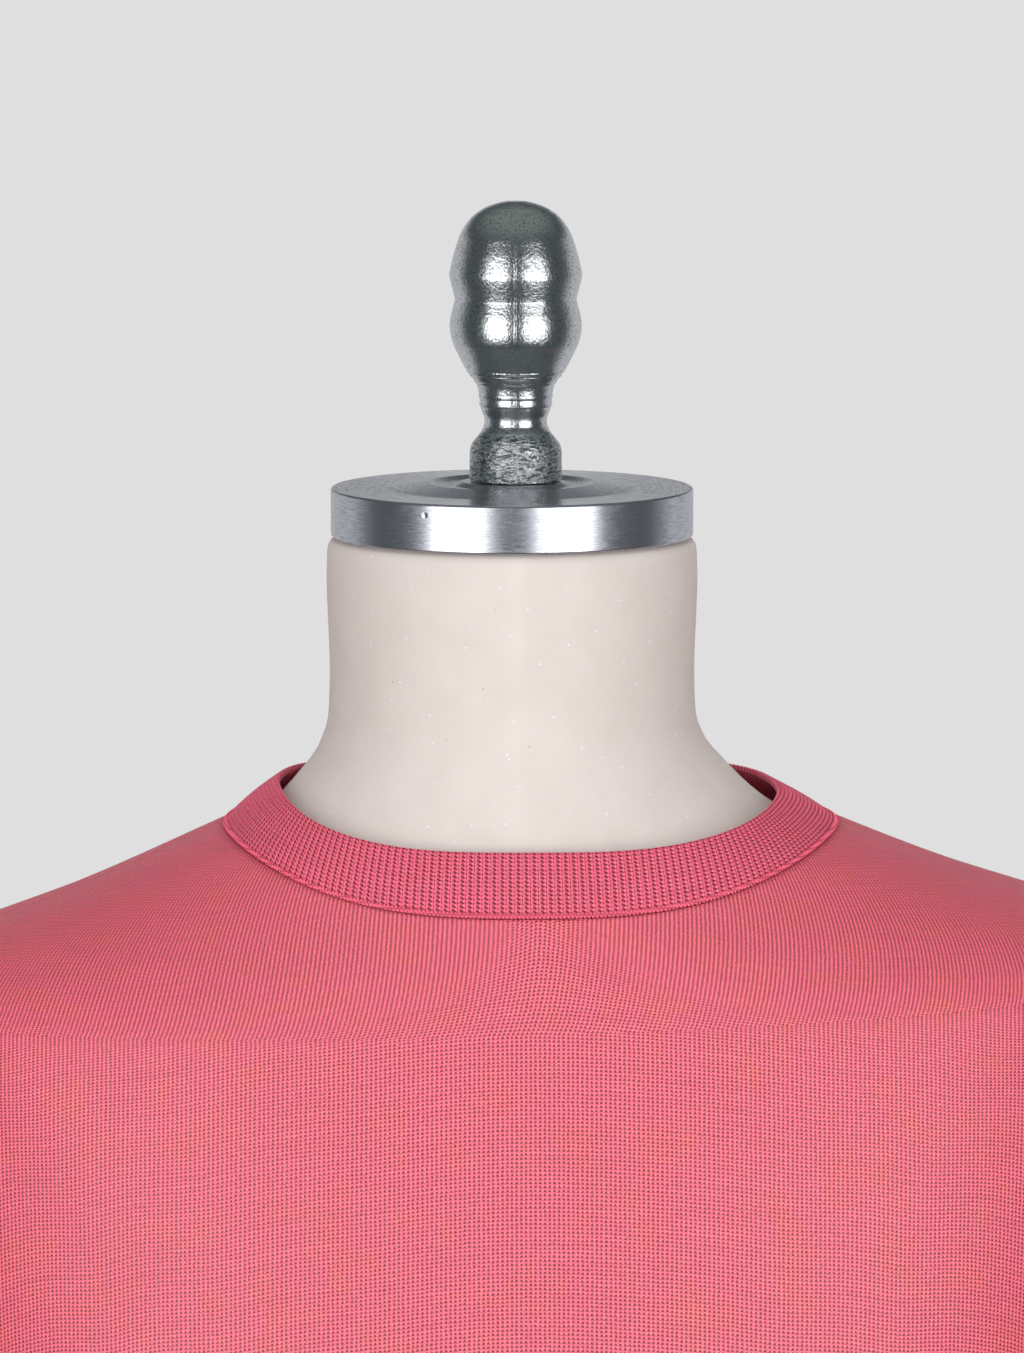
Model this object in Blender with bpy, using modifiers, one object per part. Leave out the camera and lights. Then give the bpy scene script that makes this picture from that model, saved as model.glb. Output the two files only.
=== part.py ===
"""Long-sleeve knitted top on a limbless display form that stands on a round base.

Metres, +Z up, the front faces -Y. The origin is the middle of the base's underside. The cloth is a
closed wall: its outer skin follows the garment's horizontal sections, its inner skin lies one
thickness inside. Heights in the tables are measured from the shoulder point, where the neckline seam
crosses the ridge of the shoulder.
"""

import math
from collections import namedtuple

import bmesh
import bpy
import numpy as np
from mathutils import Vector

# ---------------------------------------------------------------- driving dimensions
SHOULDER_POINT = 0.880   # its height above the surface that the base stands on
WALL = 0.0018            # knitted cloth, body and sleeves
COLLAR_WALL = 0.0020     # ribbed collar
SEAM_GAP = 0.00032       # between the front and back panels
RING_GAP = 0.00042       # between a panel and the collar or sleeve sewn to it
ROLL = 0.0280            # the shoulders lean to -X by this slope
ROLL_BEGINS = (-0.45, -0.10)   # heights over which the lean grows
ROLL_ENDS = (0.014, 0.045)     # and over which it dies out, so that the neck is upright

HEM = -0.680
UNDERARM = -0.262
SHOULDER_TIP = -0.051
TIP_HALF_WIDTH = 0.215
ARMHOLE_HALF_DEPTH = 0.078

NECKLINE_TILT = 0.0026   # the top has slipped to +X: its seam is lower there, higher on -X
NECKLINE_FRONT = -0.0175
NECKLINE_BACK = -0.0085
NECKLINE_FLAT = 3.0      # how flat the seam runs across the middle, and how fast it climbs
NECKLINE_CLIMB = 1.35
COLLAR_BAND = 0.0222     # width of the rib from its seam to its free edge
COLLAR_BOW = 0.0008      # the band's outward bow halfway up
COLLAR_RISE_RIGHT = math.radians(30)   # its slope on the +X ridge, -X ridge, front and back
COLLAR_RISE_LEFT = math.radians(38)
COLLAR_RISE_FRONT = math.radians(60)
COLLAR_RISE_BACK = math.radians(66)

COLUMNS = 24             # panel mesh, side to side
HEM_ROWS = 11            # hem to underarm
ARMHOLE_ROWS = 10        # underarm to shoulder tip
SHOULDER_ROWS = 5        # shoulder tip to neckline
SLEEVE_RINGS = 20
COLLAR_ROWS = 4
FORM_COLUMNS = 32
FORM_STEP = 0.05         # longest step between the form's mesh rows
MERGE = 1e-7
SHARP_ANGLE = math.radians(50)

POLE_RADIUS = 0.016
BASE_RADIUS = 0.160
BASE_THICKNESS = 0.012
SEAT_GAP = 0.0003        # between two hard pieces that rest on each other
NECK_TOP = 0.0934
FORM_FOOT = -0.720
FINIAL_OFFSET = 0.0012   # the finial is screwed in a little to +X of the neck's axis

Section = namedtuple("Section", "height half_width front back squareness")
GARMENT = (
    Section(0.012, 0.0720, 0.0690, 0.0640, 2.10),
    Section(0.000, 0.1000, 0.0765, 0.0740, 2.10),
    Section(-0.019, 0.1450, 0.0865, 0.0880, 2.15),
    Section(-0.035, 0.1900, 0.0950, 0.1000, 2.20),
    Section(-0.044, 0.2095, 0.0990, 0.1045, 2.25),
    Section(SHOULDER_TIP, TIP_HALF_WIDTH, 0.1020, 0.1075, 2.30),
    Section(-0.100, 0.2100, 0.1170, 0.1180, 2.40),
    Section(-0.160, 0.2010, 0.1275, 0.1220, 2.45),
    Section(UNDERARM, 0.1930, 0.1310, 0.1200, 2.45),
    Section(-0.400, 0.1860, 0.1210, 0.1095, 2.40),
    Section(-0.540, 0.1900, 0.1210, 0.1180, 2.40),
    Section(-0.610, 0.1920, 0.1220, 0.1220, 2.40),
    Section(-0.640, 0.1850, 0.1165, 0.1175, 2.40),
    Section(HEM, 0.1820, 0.1140, 0.1160, 2.40),
)
FORM = (
    Section(NECK_TOP, 0.0560, 0.0560, 0.0560, 2.00),
    Section(0.0922, 0.0583, 0.0583, 0.0583, 2.00),
    Section(0.0895, 0.0596, 0.0596, 0.0596, 2.00),
    Section(0.080, 0.0599, 0.0599, 0.0599, 2.00),
    Section(0.050, 0.0590, 0.0590, 0.0590, 2.00),
    Section(0.036, 0.0595, 0.0595, 0.0592, 2.00),
    Section(0.026, 0.0628, 0.0610, 0.0600, 2.00),
    Section(0.018, 0.0690, 0.0635, 0.0615, 2.00),
    Section(0.010, 0.0765, 0.0665, 0.0640, 2.00),
    Section(0.002, 0.0865, 0.0700, 0.0680, 2.05),
    Section(-0.006, 0.1035, 0.0745, 0.0735, 2.10),
    Section(-0.019, 0.1375, 0.0825, 0.0840, 2.15),
    Section(-0.035, 0.1825, 0.0918, 0.0965, 2.20),
    Section(-0.046, 0.2060, 0.0965, 0.1020, 2.25),
    Section(-0.056, 0.2110, 0.1000, 0.1050, 2.30),
    Section(-0.100, 0.2050, 0.1135, 0.1140, 2.35),
    Section(-0.160, 0.1930, 0.1240, 0.1180, 2.40),
    Section(UNDERARM, 0.1770, 0.1255, 0.1140, 2.40),
    Section(-0.400, 0.1600, 0.1080, 0.0960, 2.35),
    Section(-0.540, 0.1700, 0.1080, 0.1050, 2.35),
    Section(-0.660, 0.1720, 0.1050, 0.1070, 2.35),
    Section(-0.712, 0.1700, 0.1030, 0.1050, 2.35),
    Section(FORM_FOOT, 0.1640, 0.0965, 0.0985, 2.35),
)

Ring = namedtuple("Ring", "place top_x top_z under_x under_z half_depth forward")
SLEEVE = (
    Ring(0, TIP_HALF_WIDTH, SHOULDER_TIP, 0.1930, UNDERARM, ARMHOLE_HALF_DEPTH, 0.000),
    Ring(1, 0.2345, -0.064, 0.1965, -0.267, 0.081, 0.000),
    Ring(2, 0.2460, -0.097, 0.1995, -0.275, 0.085, 0.001),
    Ring(3, 0.2520, -0.150, 0.2020, -0.288, 0.088, 0.003),
    Ring(4, 0.2550, -0.215, 0.2040, -0.308, 0.090, 0.006),
    Ring(5, 0.2560, -0.285, 0.2050, -0.340, 0.088, 0.009),
    Ring(6, 0.2560, -0.360, 0.2055, -0.388, 0.083, 0.013),
    Ring(7, 0.2555, -0.440, 0.2065, -0.452, 0.075, 0.017),
    Ring(8, 0.2545, -0.520, 0.2080, -0.527, 0.066, 0.021),
    Ring(9, 0.2530, -0.600, 0.2100, -0.604, 0.056, 0.025),
    Ring(10, 0.2510, -0.668, 0.2120, -0.670, 0.049, 0.028),
)
SLEEVE_SQUARENESS = 2.2
SEAM_FADE = 0.28         # share of the sleeve over which the armhole's own curve fades out

BodyFold = namedtuple("BodyFold", "angle start width lift slant")
BODY_FOLDS = (           # vertical folds: degrees from +X by the front, height where each begins
    BodyFold(26, -0.270, 8, 0.0085, 40),
    BodyFold(57, -0.400, 9, 0.0060, 14),
    BodyFold(104, -0.440, 8, 0.0050, -8),
    BodyFold(128, -0.350, 9, 0.0075, -18),
    BodyFold(156, -0.280, 7, 0.0090, -36),
    BodyFold(-26, -0.280, 8, 0.0085, -34),
    BodyFold(-60, -0.350, 9, 0.0080, -10),
    BodyFold(-97, -0.420, 8, 0.0060, 6),
    BodyFold(-124, -0.310, 9, 0.0085, 16),
    BodyFold(-153, -0.270, 8, 0.0080, 32),
)
FOLD_RAMP = 0.15         # height over which a body fold grows
WELT = (-0.665, -0.615)  # the ribbed hem pulls the folds nearly flat
WELT_KEEPS = 0.35

SleeveFold = namedtuple("SleeveFold", "angle along spread length lift slant")
SLEEVE_FOLDS = (         # creases across the sleeve: degrees from its top by the front
    SleeveFold(70, 0.17, 42, 0.022, 0.0060, 0.030),
    SleeveFold(300, 0.21, 40, 0.024, 0.0065, -0.030),
    SleeveFold(95, 0.37, 50, 0.024, 0.0060, 0.040),
    SleeveFold(215, 0.43, 46, 0.026, 0.0050, 0.030),
    SleeveFold(30, 0.53, 60, 0.026, 0.0055, -0.045),
    SleeveFold(110, 0.62, 48, 0.022, 0.0060, 0.035),
    SleeveFold(260, 0.67, 52, 0.026, 0.0060, -0.040),
    SleeveFold(140, 0.80, 60, 0.020, 0.0045, 0.025),
)

Turning = namedtuple("Turning", "height radius")
FINIAL = (               # from its crown down to its foot
    Turning(0.0899, 0.0000), Turning(0.0895, 0.0050), Turning(0.0885, 0.0083),
    Turning(0.0870, 0.0112), Turning(0.0857, 0.0130), Turning(0.0838, 0.0150),
    Turning(0.0812, 0.0168), Turning(0.0787, 0.0181), Turning(0.0745, 0.0195),
    Turning(0.0697, 0.0208), Turning(0.0661, 0.0214), Turning(0.0633, 0.0208),
    Turning(0.0584, 0.0196), Turning(0.0555, 0.0203), Turning(0.0530, 0.0209),
    Turning(0.0504, 0.0212), Turning(0.0478, 0.0211), Turning(0.0453, 0.0206),
    Turning(0.0427, 0.0196), Turning(0.0401, 0.0183), Turning(0.0375, 0.0170),
    Turning(0.0349, 0.0154), Turning(0.0324, 0.0136), Turning(0.0309, 0.0126),
    Turning(0.0285, 0.0120), Turning(0.0246, 0.0116), Turning(0.0220, 0.0108),
    Turning(0.0194, 0.0101), Turning(0.0169, 0.0106), Turning(0.0143, 0.0122),
    Turning(0.0117, 0.0143), Turning(0.0091, 0.0148), Turning(0.0000, 0.0149),
    Turning(0.0000, 0.0000),
)
CAP = (                  # a dish round the finial's seat, its raised edge, a flat land, the rim
    Turning(0.0173, 0.0000), Turning(0.0173, 0.0158), Turning(0.0162, 0.0190),
    Turning(0.0160, 0.0220), Turning(0.0171, 0.0262), Turning(0.0171, 0.0274),
    Turning(0.0153, 0.0405), Turning(0.0153, 0.0574), Turning(0.0150, 0.0582),
    Turning(0.0143, 0.0585), Turning(0.0010, 0.0585), Turning(0.0003, 0.0582),
    Turning(0.0000, 0.0575), Turning(0.0000, 0.0000),
)
CAP_SEAT = CAP[0].height

Finish = namedtuple("Finish", "red green blue roughness metallic")
KNIT = Finish(0.72, 0.10, 0.14, 0.85, 0.0)
RIB = Finish(0.66, 0.09, 0.13, 0.85, 0.0)
CANVAS = Finish(0.80, 0.72, 0.66, 0.90, 0.0)
ALUMINIUM = Finish(0.62, 0.63, 0.65, 0.28, 1.0)
STEEL = Finish(0.35, 0.35, 0.36, 0.35, 1.0)


# ---------------------------------------------------------------- reading the tables
def table_curve(rows, column):
    """Smooth curve through a table's column, read by its first one and never overshooting a row."""
    rows = sorted(rows)
    spots = np.array([row[0] for row in rows])
    values = np.array([getattr(row, column) for row in rows])
    chords = np.diff(values) / np.diff(spots)
    before, after = chords[:-1], chords[1:]
    inner = np.zeros(len(before))
    agree = before * after > 0
    inner[agree] = 2 * before[agree] * after[agree] / (before[agree] + after[agree])
    slopes = np.concatenate([chords[:1], inner, chords[-1:]])

    def read(at):
        held = min(max(at, spots[0]), spots[-1])
        low = min(max(int(np.searchsorted(spots, held)) - 1, 0), len(chords) - 1)
        step = spots[low + 1] - spots[low]
        part = (held - spots[low]) / step
        bend = part * part * (3 - 2 * part)
        value = values[low] * (1 - bend) + values[low + 1] * bend
        value += step * slopes[low] * part * (1 - part) ** 2
        value -= step * slopes[low + 1] * part ** 2 * (1 - part)
        end_slope = slopes[0] if at < spots[0] else slopes[-1]
        return float(value + end_slope * (at - held))

    return read


def table_curves(rows):
    """One curve for each column after the first."""
    return {name: table_curve(rows, name) for name in rows[0]._fields[1:]}


GARMENT_CURVES = table_curves(GARMENT)
FORM_CURVES = table_curves(FORM)
SLEEVE_CURVES = table_curves(SLEEVE)


def eased(low, high, at):
    """0 at low, 1 at high and smooth between."""
    part = min(max((at - low) / (high - low), 0.0), 1.0)
    return part * part * (3 - 2 * part)


def rounded_power(value, power):
    return math.copysign(abs(value) ** power, value)


# ---------------------------------------------------------------- the body's surface
def section_point(curves, angle, height, lift=0.0):
    """Point of a horizontal section. Angle 0 is the +X side, a quarter turn is the front."""
    side, depthwise = math.cos(angle), math.sin(angle)
    power = 2 / curves["squareness"](height)
    depth = curves["front"](height) if depthwise > 0 else curves["back"](height)
    x = (curves["half_width"](height) + lift) * rounded_power(side, power)
    y = -(depth + lift) * rounded_power(depthwise, power)
    return Vector((x, y, height))


def body_fold(angle, height):
    """How far the vertical folds stand out from the plain section."""
    total = 0.0
    for fold in BODY_FOLDS:
        below = fold.start - height
        if below <= 0:
            continue
        centre = fold.angle + fold.slant * below
        turned = (math.degrees(angle) - centre + 180) % 360 - 180
        total += fold.lift * eased(0, FOLD_RAMP, below) * math.exp(-(turned / fold.width) ** 2)
    return total * (WELT_KEEPS + (1 - WELT_KEEPS) * eased(*WELT, height))


def garment_point(angle, height):
    return section_point(GARMENT_CURVES, angle, height, body_fold(angle, height))


def garment_outward(angle, height):
    """Unit normal of the garment's outer skin."""
    step = 1e-4
    up = garment_point(angle, height + step) - garment_point(angle, height - step)
    round_it = garment_point(angle + step, height) - garment_point(angle - step, height)
    return up.cross(round_it).normalized()


def placed(point):
    """A point measured from the shoulder point, leaned and set at its height above the base."""
    reach = min(max(point.x, -TIP_HALF_WIDTH), TIP_HALF_WIDTH)
    lean = ROLL * reach * eased(*ROLL_BEGINS, point.z) * (1 - eased(*ROLL_ENDS, point.z))
    return Vector((point.x, point.y, point.z + lean + SHOULDER_POINT))


# ---------------------------------------------------------------- seams that two pieces share
ARMHOLE_MIDDLE = (SHOULDER_TIP + UNDERARM) / 2
ARMHOLE_RISE = (SHOULDER_TIP - UNDERARM) / 2


def armhole_angle(turn):
    """Section angle where the armhole passes; turn 0 is its top, a quarter turn its front."""
    height = ARMHOLE_MIDDLE + ARMHOLE_RISE * math.cos(turn)
    across = ARMHOLE_HALF_DEPTH * math.sin(turn)
    depth = GARMENT_CURVES["front" if across > 0 else "back"](height)
    share = (abs(across) / depth) ** (GARMENT_CURVES["squareness"](height) / 2)
    return math.copysign(math.asin(share), across)


def armhole_point(turn):
    """The armhole seam of the +X side."""
    height = ARMHOLE_MIDDLE + ARMHOLE_RISE * math.cos(turn)
    return garment_point(armhole_angle(turn), height)


def armhole_outward(turn):
    """Direction that both walls at the armhole seam are thick along."""
    return Vector((0.0, -math.sin(turn), math.cos(turn)))


def neckline(turn):
    """Section angle and height of the neckline seam; turn 0 is on the +X ridge."""
    across = math.cos(turn)
    low_point = NECKLINE_FRONT if math.sin(turn) > 0 else NECKLINE_BACK
    dip = low_point * (1 - abs(across) ** NECKLINE_FLAT) ** NECKLINE_CLIMB
    height = dip - NECKLINE_TILT * across
    half_width = GARMENT_CURVES["half_width"]
    on_right, on_left = half_width(-NECKLINE_TILT), half_width(NECKLINE_TILT)
    x = (on_right + on_left) / 2 * across + (on_right - on_left) / 2
    share = min(max(x / half_width(height), -1.0), 1.0)
    angle = math.acos(rounded_power(share, GARMENT_CURVES["squareness"](height) / 2))
    return math.copysign(angle, math.sin(turn)), height


# ---------------------------------------------------------------- cloth walls
def cloth_wall(name, columns, rows, spot, wall, finish):
    """Closed wall over a grid. spot(u, row) gives the outer point and the outward direction."""
    bm = bmesh.new()
    grid = bm.verts.layers.float_vector.new("grid")
    bmesh.ops.create_grid(bm, x_segments=columns, y_segments=rows, size=0.5)
    for vert in bm.verts:
        vert[grid] = (vert.co.x + 0.5, vert.co.y + 0.5, 0.0)
        vert.co = spot(vert[grid].x, round(vert[grid].y * rows))[0]
    bmesh.ops.remove_doubles(bm, verts=bm.verts[:], dist=MERGE)
    extruded = bmesh.ops.extrude_face_region(bm, geom=bm.faces[:])["geom"]
    for vert in (item for item in extruded if isinstance(item, bmesh.types.BMVert)):
        outward = spot(vert[grid].x, round(vert[grid].y * rows))[1]
        vert.co -= outward * wall
    for vert in bm.verts:
        vert.co = placed(vert.co)
    bmesh.ops.recalc_face_normals(bm, faces=bm.faces[:])
    bm.verts.layers.float_vector.remove(grid)
    return finished_object(name, bm, finish)


def panel_spot(facing):
    """Outer points of the front (facing 1) or back (facing -1) panel."""

    def spot(across, row):
        turn = math.pi * (1 - (row - HEM_ROWS) / ARMHOLE_ROWS)
        in_armhole = 0 <= row - HEM_ROWS <= ARMHOLE_ROWS
        edge = abs(armhole_angle(facing * turn)) if in_armhole else 0.0
        angle = facing * (edge + (math.pi - 2 * edge) * across)
        if row <= HEM_ROWS:
            height = HEM + (UNDERARM - HEM) * row / HEM_ROWS
        elif in_armhole:
            height = ARMHOLE_MIDDLE + ARMHOLE_RISE * math.cos(turn)
        else:
            share = (row - HEM_ROWS - ARMHOLE_ROWS) / SHOULDER_ROWS
            neck_angle, neck_height = neckline(angle)
            angle += (neck_angle - angle) * share
            height = SHOULDER_TIP + (neck_height - SHOULDER_TIP) * share
        outward = garment_outward(angle, height)
        if in_armhole and not 1e-6 < across < 1 - 1e-6:
            outward = armhole_outward(facing * turn)
        half_gap = Vector((0, -facing * SEAM_GAP / 2, 0))
        return garment_point(angle, height) + half_gap, outward

    return spot


def sleeve_fold(turn, along):
    """How far the creases across the sleeve stand out."""
    total = 0.0
    for fold in SLEEVE_FOLDS:
        turned = (math.degrees(turn) - fold.angle + 180) % 360 - 180
        centre = fold.along + fold.slant * turned / fold.spread
        round_it = math.exp(-(turned / fold.spread) ** 2)
        total += fold.lift * round_it * math.exp(-((along - centre) / fold.length) ** 2)
    return total


def sleeve_tube(turn, along):
    """Point of the +X sleeve without its creases; turn 0 is its top edge."""
    read = {name: curve(along * SLEEVE[-1].place) for name, curve in SLEEVE_CURVES.items()}
    power = 2 / SLEEVE_SQUARENESS
    topwise = rounded_power(math.cos(turn), power)
    x = (read["top_x"] + read["under_x"]) / 2 + (read["top_x"] - read["under_x"]) / 2 * topwise
    z = (read["top_z"] + read["under_z"]) / 2 + (read["top_z"] - read["under_z"]) / 2 * topwise
    y = -read["forward"] - read["half_depth"] * rounded_power(math.sin(turn), power)
    return Vector((x, y, z))


def sleeve_point(turn, along):
    """Point of the +X sleeve, which begins on the armhole's own curve."""
    to_armhole = armhole_point(turn) - sleeve_tube(turn, 0.0)
    fade = (1 - eased(0.0, SEAM_FADE, along)) ** 2
    return sleeve_tube(turn, along) + to_armhole * fade


def sleeve_spot(side):
    """Outer points of the sleeve on the +X side (1) or the -X side (-1)."""

    def spot(across, row):
        turn, along = math.tau * across, row / SLEEVE_RINGS
        step = 1e-4
        outward = armhole_outward(turn)
        if row:
            down = sleeve_point(turn, along + step) - sleeve_point(turn, along - step)
            round_it = sleeve_point(turn + step, along) - sleeve_point(turn - step, along)
            outward = round_it.cross(down).normalized()
        crease = sleeve_fold(turn, along) * eased(0.0, 0.1, along)
        point = sleeve_point(turn, along) + outward * crease + Vector((RING_GAP, 0, 0))
        mirror = Vector((side, 1, 1))
        return point * mirror, outward * mirror

    return spot


def collar_spot(across, row):
    """Outer points of the collar, from its seam (row 0) to its free edge."""
    turn = math.tau * across if across <= 0.5 else math.tau * (across - 1)
    angle, height = neckline(turn)
    outward = garment_outward(angle, height)
    inward = Vector((-outward.x, -outward.y, 0)).normalized()
    middle_rise = COLLAR_RISE_FRONT if math.sin(turn) > 0 else COLLAR_RISE_BACK
    side_rise = (COLLAR_RISE_RIGHT + COLLAR_RISE_LEFT) / 2 + (
        (COLLAR_RISE_RIGHT - COLLAR_RISE_LEFT) / 2 * math.cos(turn)
    )
    rise = side_rise + (middle_rise - side_rise) * math.sin(turn) ** 2
    band = inward * math.cos(rise) + Vector((0, 0, math.sin(rise)))
    bow_way = Vector((0, 0, math.cos(rise))) - inward * math.sin(rise)
    share = row / COLLAR_ROWS
    bow = bow_way * COLLAR_BOW * math.sin(math.pi * share)
    point = garment_point(angle, height) + band * (RING_GAP + COLLAR_BAND * share) + bow
    return point, outward.lerp(bow_way, eased(0, 1, share)).normalized()


# ---------------------------------------------------------------- objects
def new_material(name, finish):
    material = bpy.data.materials.new(name)
    material.use_nodes = True
    shader = material.node_tree.nodes["Principled BSDF"]
    shader.inputs["Base Color"].default_value = (finish.red, finish.green, finish.blue, 1.0)
    shader.inputs["Roughness"].default_value = finish.roughness
    shader.inputs["Metallic"].default_value = finish.metallic
    return material


def finished_object(name, bm, finish):
    """Object in the part's collection, from a mesh under construction."""
    mesh = bpy.data.meshes.new(name)
    bm.to_mesh(mesh)
    bm.free()
    mesh.shade_smooth()
    mesh.set_sharp_from_angle(angle=SHARP_ANGLE)
    mesh.materials.append(new_material(name, finish))
    made = bpy.data.objects.new(name, mesh)
    COLLECTION.objects.link(made)
    return made


def turned_object(name, profile, steps, foot, finish):
    """Lathe-turned piece: its profile runs down the outer side, at +X of its axis."""
    bm = bmesh.new()
    verts = [bm.verts.new((row.radius, 0, row.height)) for row in profile]
    for upper, lower in zip(verts, verts[1:]):
        bm.edges.new((upper, lower))
    made = finished_object(name, bm, finish)
    made.location = foot
    screw = made.modifiers.new("Turn", "SCREW")
    screw.steps = screw.render_steps = steps
    screw.use_merge_vertices = True
    screw.merge_threshold = 1e-5
    return made


def form_heights():
    """Heights of the form's mesh rows: the table's own, with long steps divided."""
    heights = [FORM[0].height]
    for upper, lower in zip(FORM, FORM[1:]):
        parts = math.ceil((upper.height - lower.height) / FORM_STEP)
        drop = (lower.height - upper.height) / parts
        heights += [upper.height + drop * (part + 1) for part in range(parts)]
    return heights


def make_form():
    """Padded canvas torso and neck, closed at its neck and foot."""
    heights = form_heights()
    rows = len(heights) - 1
    bm = bmesh.new()
    bmesh.ops.create_grid(bm, x_segments=FORM_COLUMNS, y_segments=rows, size=0.5)
    for vert in bm.verts:
        angle = math.tau * (vert.co.x + 0.5)
        height = heights[round((vert.co.y + 0.5) * rows)]
        vert.co = placed(section_point(FORM_CURVES, angle, height))
    bmesh.ops.remove_doubles(bm, verts=bm.verts[:], dist=MERGE)
    bmesh.ops.holes_fill(bm, edges=[edge for edge in bm.edges if edge.is_boundary])
    bmesh.ops.recalc_face_normals(bm, faces=bm.faces[:])
    return finished_object("form_body", bm, CANVAS)


def make_cylinder(name, radius, low, high, segments, chamfer, finish):
    """Upright round bar or plate with softened edges."""
    bm = bmesh.new()
    bmesh.ops.create_cone(
        bm, cap_ends=True, segments=segments, radius1=radius, radius2=radius, depth=high - low
    )
    bmesh.ops.translate(bm, verts=bm.verts[:], vec=(0, 0, (low + high) / 2))
    made = finished_object(name, bm, finish)
    bevel = made.modifiers.new("Softened edges", "BEVEL")
    bevel.width = chamfer
    bevel.segments = 2
    bevel.limit_method = "ANGLE"
    return made


def clear_scene():
    for old in list(bpy.data.objects):
        bpy.data.objects.remove(old)


def make_garment():
    panel_rows = HEM_ROWS + ARMHOLE_ROWS + SHOULDER_ROWS
    cloth_wall("front", COLUMNS, panel_rows, panel_spot(1), WALL, KNIT)
    cloth_wall("back", COLUMNS, panel_rows, panel_spot(-1), WALL, KNIT)
    around = 2 * ARMHOLE_ROWS
    cloth_wall("sleeve_left", around, SLEEVE_RINGS, sleeve_spot(1), WALL, KNIT)
    cloth_wall("sleeve_right", around, SLEEVE_RINGS, sleeve_spot(-1), WALL, KNIT)
    cloth_wall("collar", 2 * COLUMNS, COLLAR_ROWS, collar_spot, COLLAR_WALL, RIB)


def make_stand():
    """The form, its cap and finial, and the pole and base that carry it."""
    make_form()
    cap_foot = SHOULDER_POINT + NECK_TOP + SEAT_GAP
    turned_object("neck_cap", CAP, 40, (0, 0, cap_foot), ALUMINIUM)
    finial_foot = (FINIAL_OFFSET, 0, cap_foot + CAP_SEAT + SEAT_GAP)
    turned_object("finial", FINIAL, 20, finial_foot, ALUMINIUM)
    pole_low = BASE_THICKNESS + SEAT_GAP
    pole_high = SHOULDER_POINT + FORM_FOOT - SEAT_GAP
    make_cylinder("pole", POLE_RADIUS, pole_low, pole_high, 24, 0.0008, STEEL)
    make_cylinder("base_plate", BASE_RADIUS, 0.0, BASE_THICKNESS, 56, 0.0015, STEEL)


clear_scene()
COLLECTION = bpy.data.collections.new("knitted_top_on_form")
bpy.context.scene.collection.children.link(COLLECTION)
make_garment()
make_stand()
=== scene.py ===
"""Looks of a coral knitted top that a canvas display form wears, on a pole and a round base.

Metres, +Z up, the chest faces -Y and +X is to the right in the front view. Heights in the tables are
measured from the shoulder point, where the neckline seam crosses the ridge of the shoulder, as in the
part's own source. Each shell lies on the outer skin of the solid that it stands for.
"""

import logging
import math
from dataclasses import dataclass
from enum import Enum
from functools import partial
from typing import Callable, NamedTuple, Sequence

import bmesh
import bpy
import numpy as np
from mathutils import Matrix, Vector


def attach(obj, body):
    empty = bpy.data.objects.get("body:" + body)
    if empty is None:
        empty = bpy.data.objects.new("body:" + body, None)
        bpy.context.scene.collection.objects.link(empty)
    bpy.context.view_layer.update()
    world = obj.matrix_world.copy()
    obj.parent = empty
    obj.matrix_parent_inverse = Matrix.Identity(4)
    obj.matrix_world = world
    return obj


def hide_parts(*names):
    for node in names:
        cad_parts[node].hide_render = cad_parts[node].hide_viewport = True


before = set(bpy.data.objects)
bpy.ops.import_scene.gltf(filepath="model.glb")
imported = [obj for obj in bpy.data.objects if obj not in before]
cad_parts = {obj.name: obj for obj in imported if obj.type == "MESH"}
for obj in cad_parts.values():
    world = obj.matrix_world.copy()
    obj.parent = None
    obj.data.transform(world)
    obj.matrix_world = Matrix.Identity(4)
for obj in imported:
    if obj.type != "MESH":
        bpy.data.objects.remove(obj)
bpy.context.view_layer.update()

LOG = logging.getLogger("knitted_top")
ROOT = "root"            # the one body that every piece rides on
CUT = "cut"              # UV map that holds a piece's own cut, in metres
MM = 0.001
SHOULDER_POINT = 0.880   # its height above the surface that the base stands on
MERGE = 1e-7

Array = np.ndarray
Socket = bpy.types.NodeSocket
Tree = bpy.types.NodeTree
Adder = Callable[..., Socket]                   # add_node with its node tree filled in
Surface = Callable[[Array, Array], Array]
RGBA = {"out": 2, "data_type": "RGBA"}          # a mix of two colours
SMOOTH = {"interpolation_type": "SMOOTHSTEP"}   # a map range without corners


# ---------------------------------------------------------------- small shared tools
def linear(colour: str) -> tuple[float, float, float, float]:
    """Turns an sRGB colour into the linear values that a shader takes.

    Args:
        colour: hex value such as "#DFDFDF".

    Returns:
        Linear red, green and blue, and 1.
    """
    parts = [int(colour[at:at + 2], 16) / 255 for at in (1, 3, 5)]
    red, green, blue = (
        part / 12.92 if part <= 0.04045 else ((part + 0.055) / 1.055) ** 2.4 for part in parts
    )
    return red, green, blue, 1.0


def feed(tree: Tree, node: bpy.types.Node, inputs: dict) -> None:
    """Links or sets a node's inputs.

    Args:
        tree: node tree that the node is in.
        node: the node.
        inputs: input name or number to a value or to the socket that feeds it.
    """
    for key, source in inputs.items():
        if isinstance(source, Socket):
            tree.links.new(source, node.inputs[key])
        else:
            node.inputs[key].default_value = source


def add_node(tree: Tree, kind: str, inputs: dict | None = None, out: int | str = 0, **settings) -> Socket:
    """Adds one node with its settings and links.

    Args:
        tree: node tree of a material or of the world.
        kind: the node's type name after "ShaderNode".
        inputs: input name or number to a value or to the socket that feeds it.
        out: name or number of the output that is wanted.
        **settings: properties of the node.

    Returns:
        That output.
    """
    node = tree.nodes.new("ShaderNode" + kind)
    for name, value in settings.items():
        setattr(node, name, value)
    feed(tree, node, inputs or {})
    return node.outputs[out]


def table(kind: type, *rows: tuple) -> tuple:
    """The rows of a table as named tuples of one kind."""
    return tuple(kind(*row) for row in rows)


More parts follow.
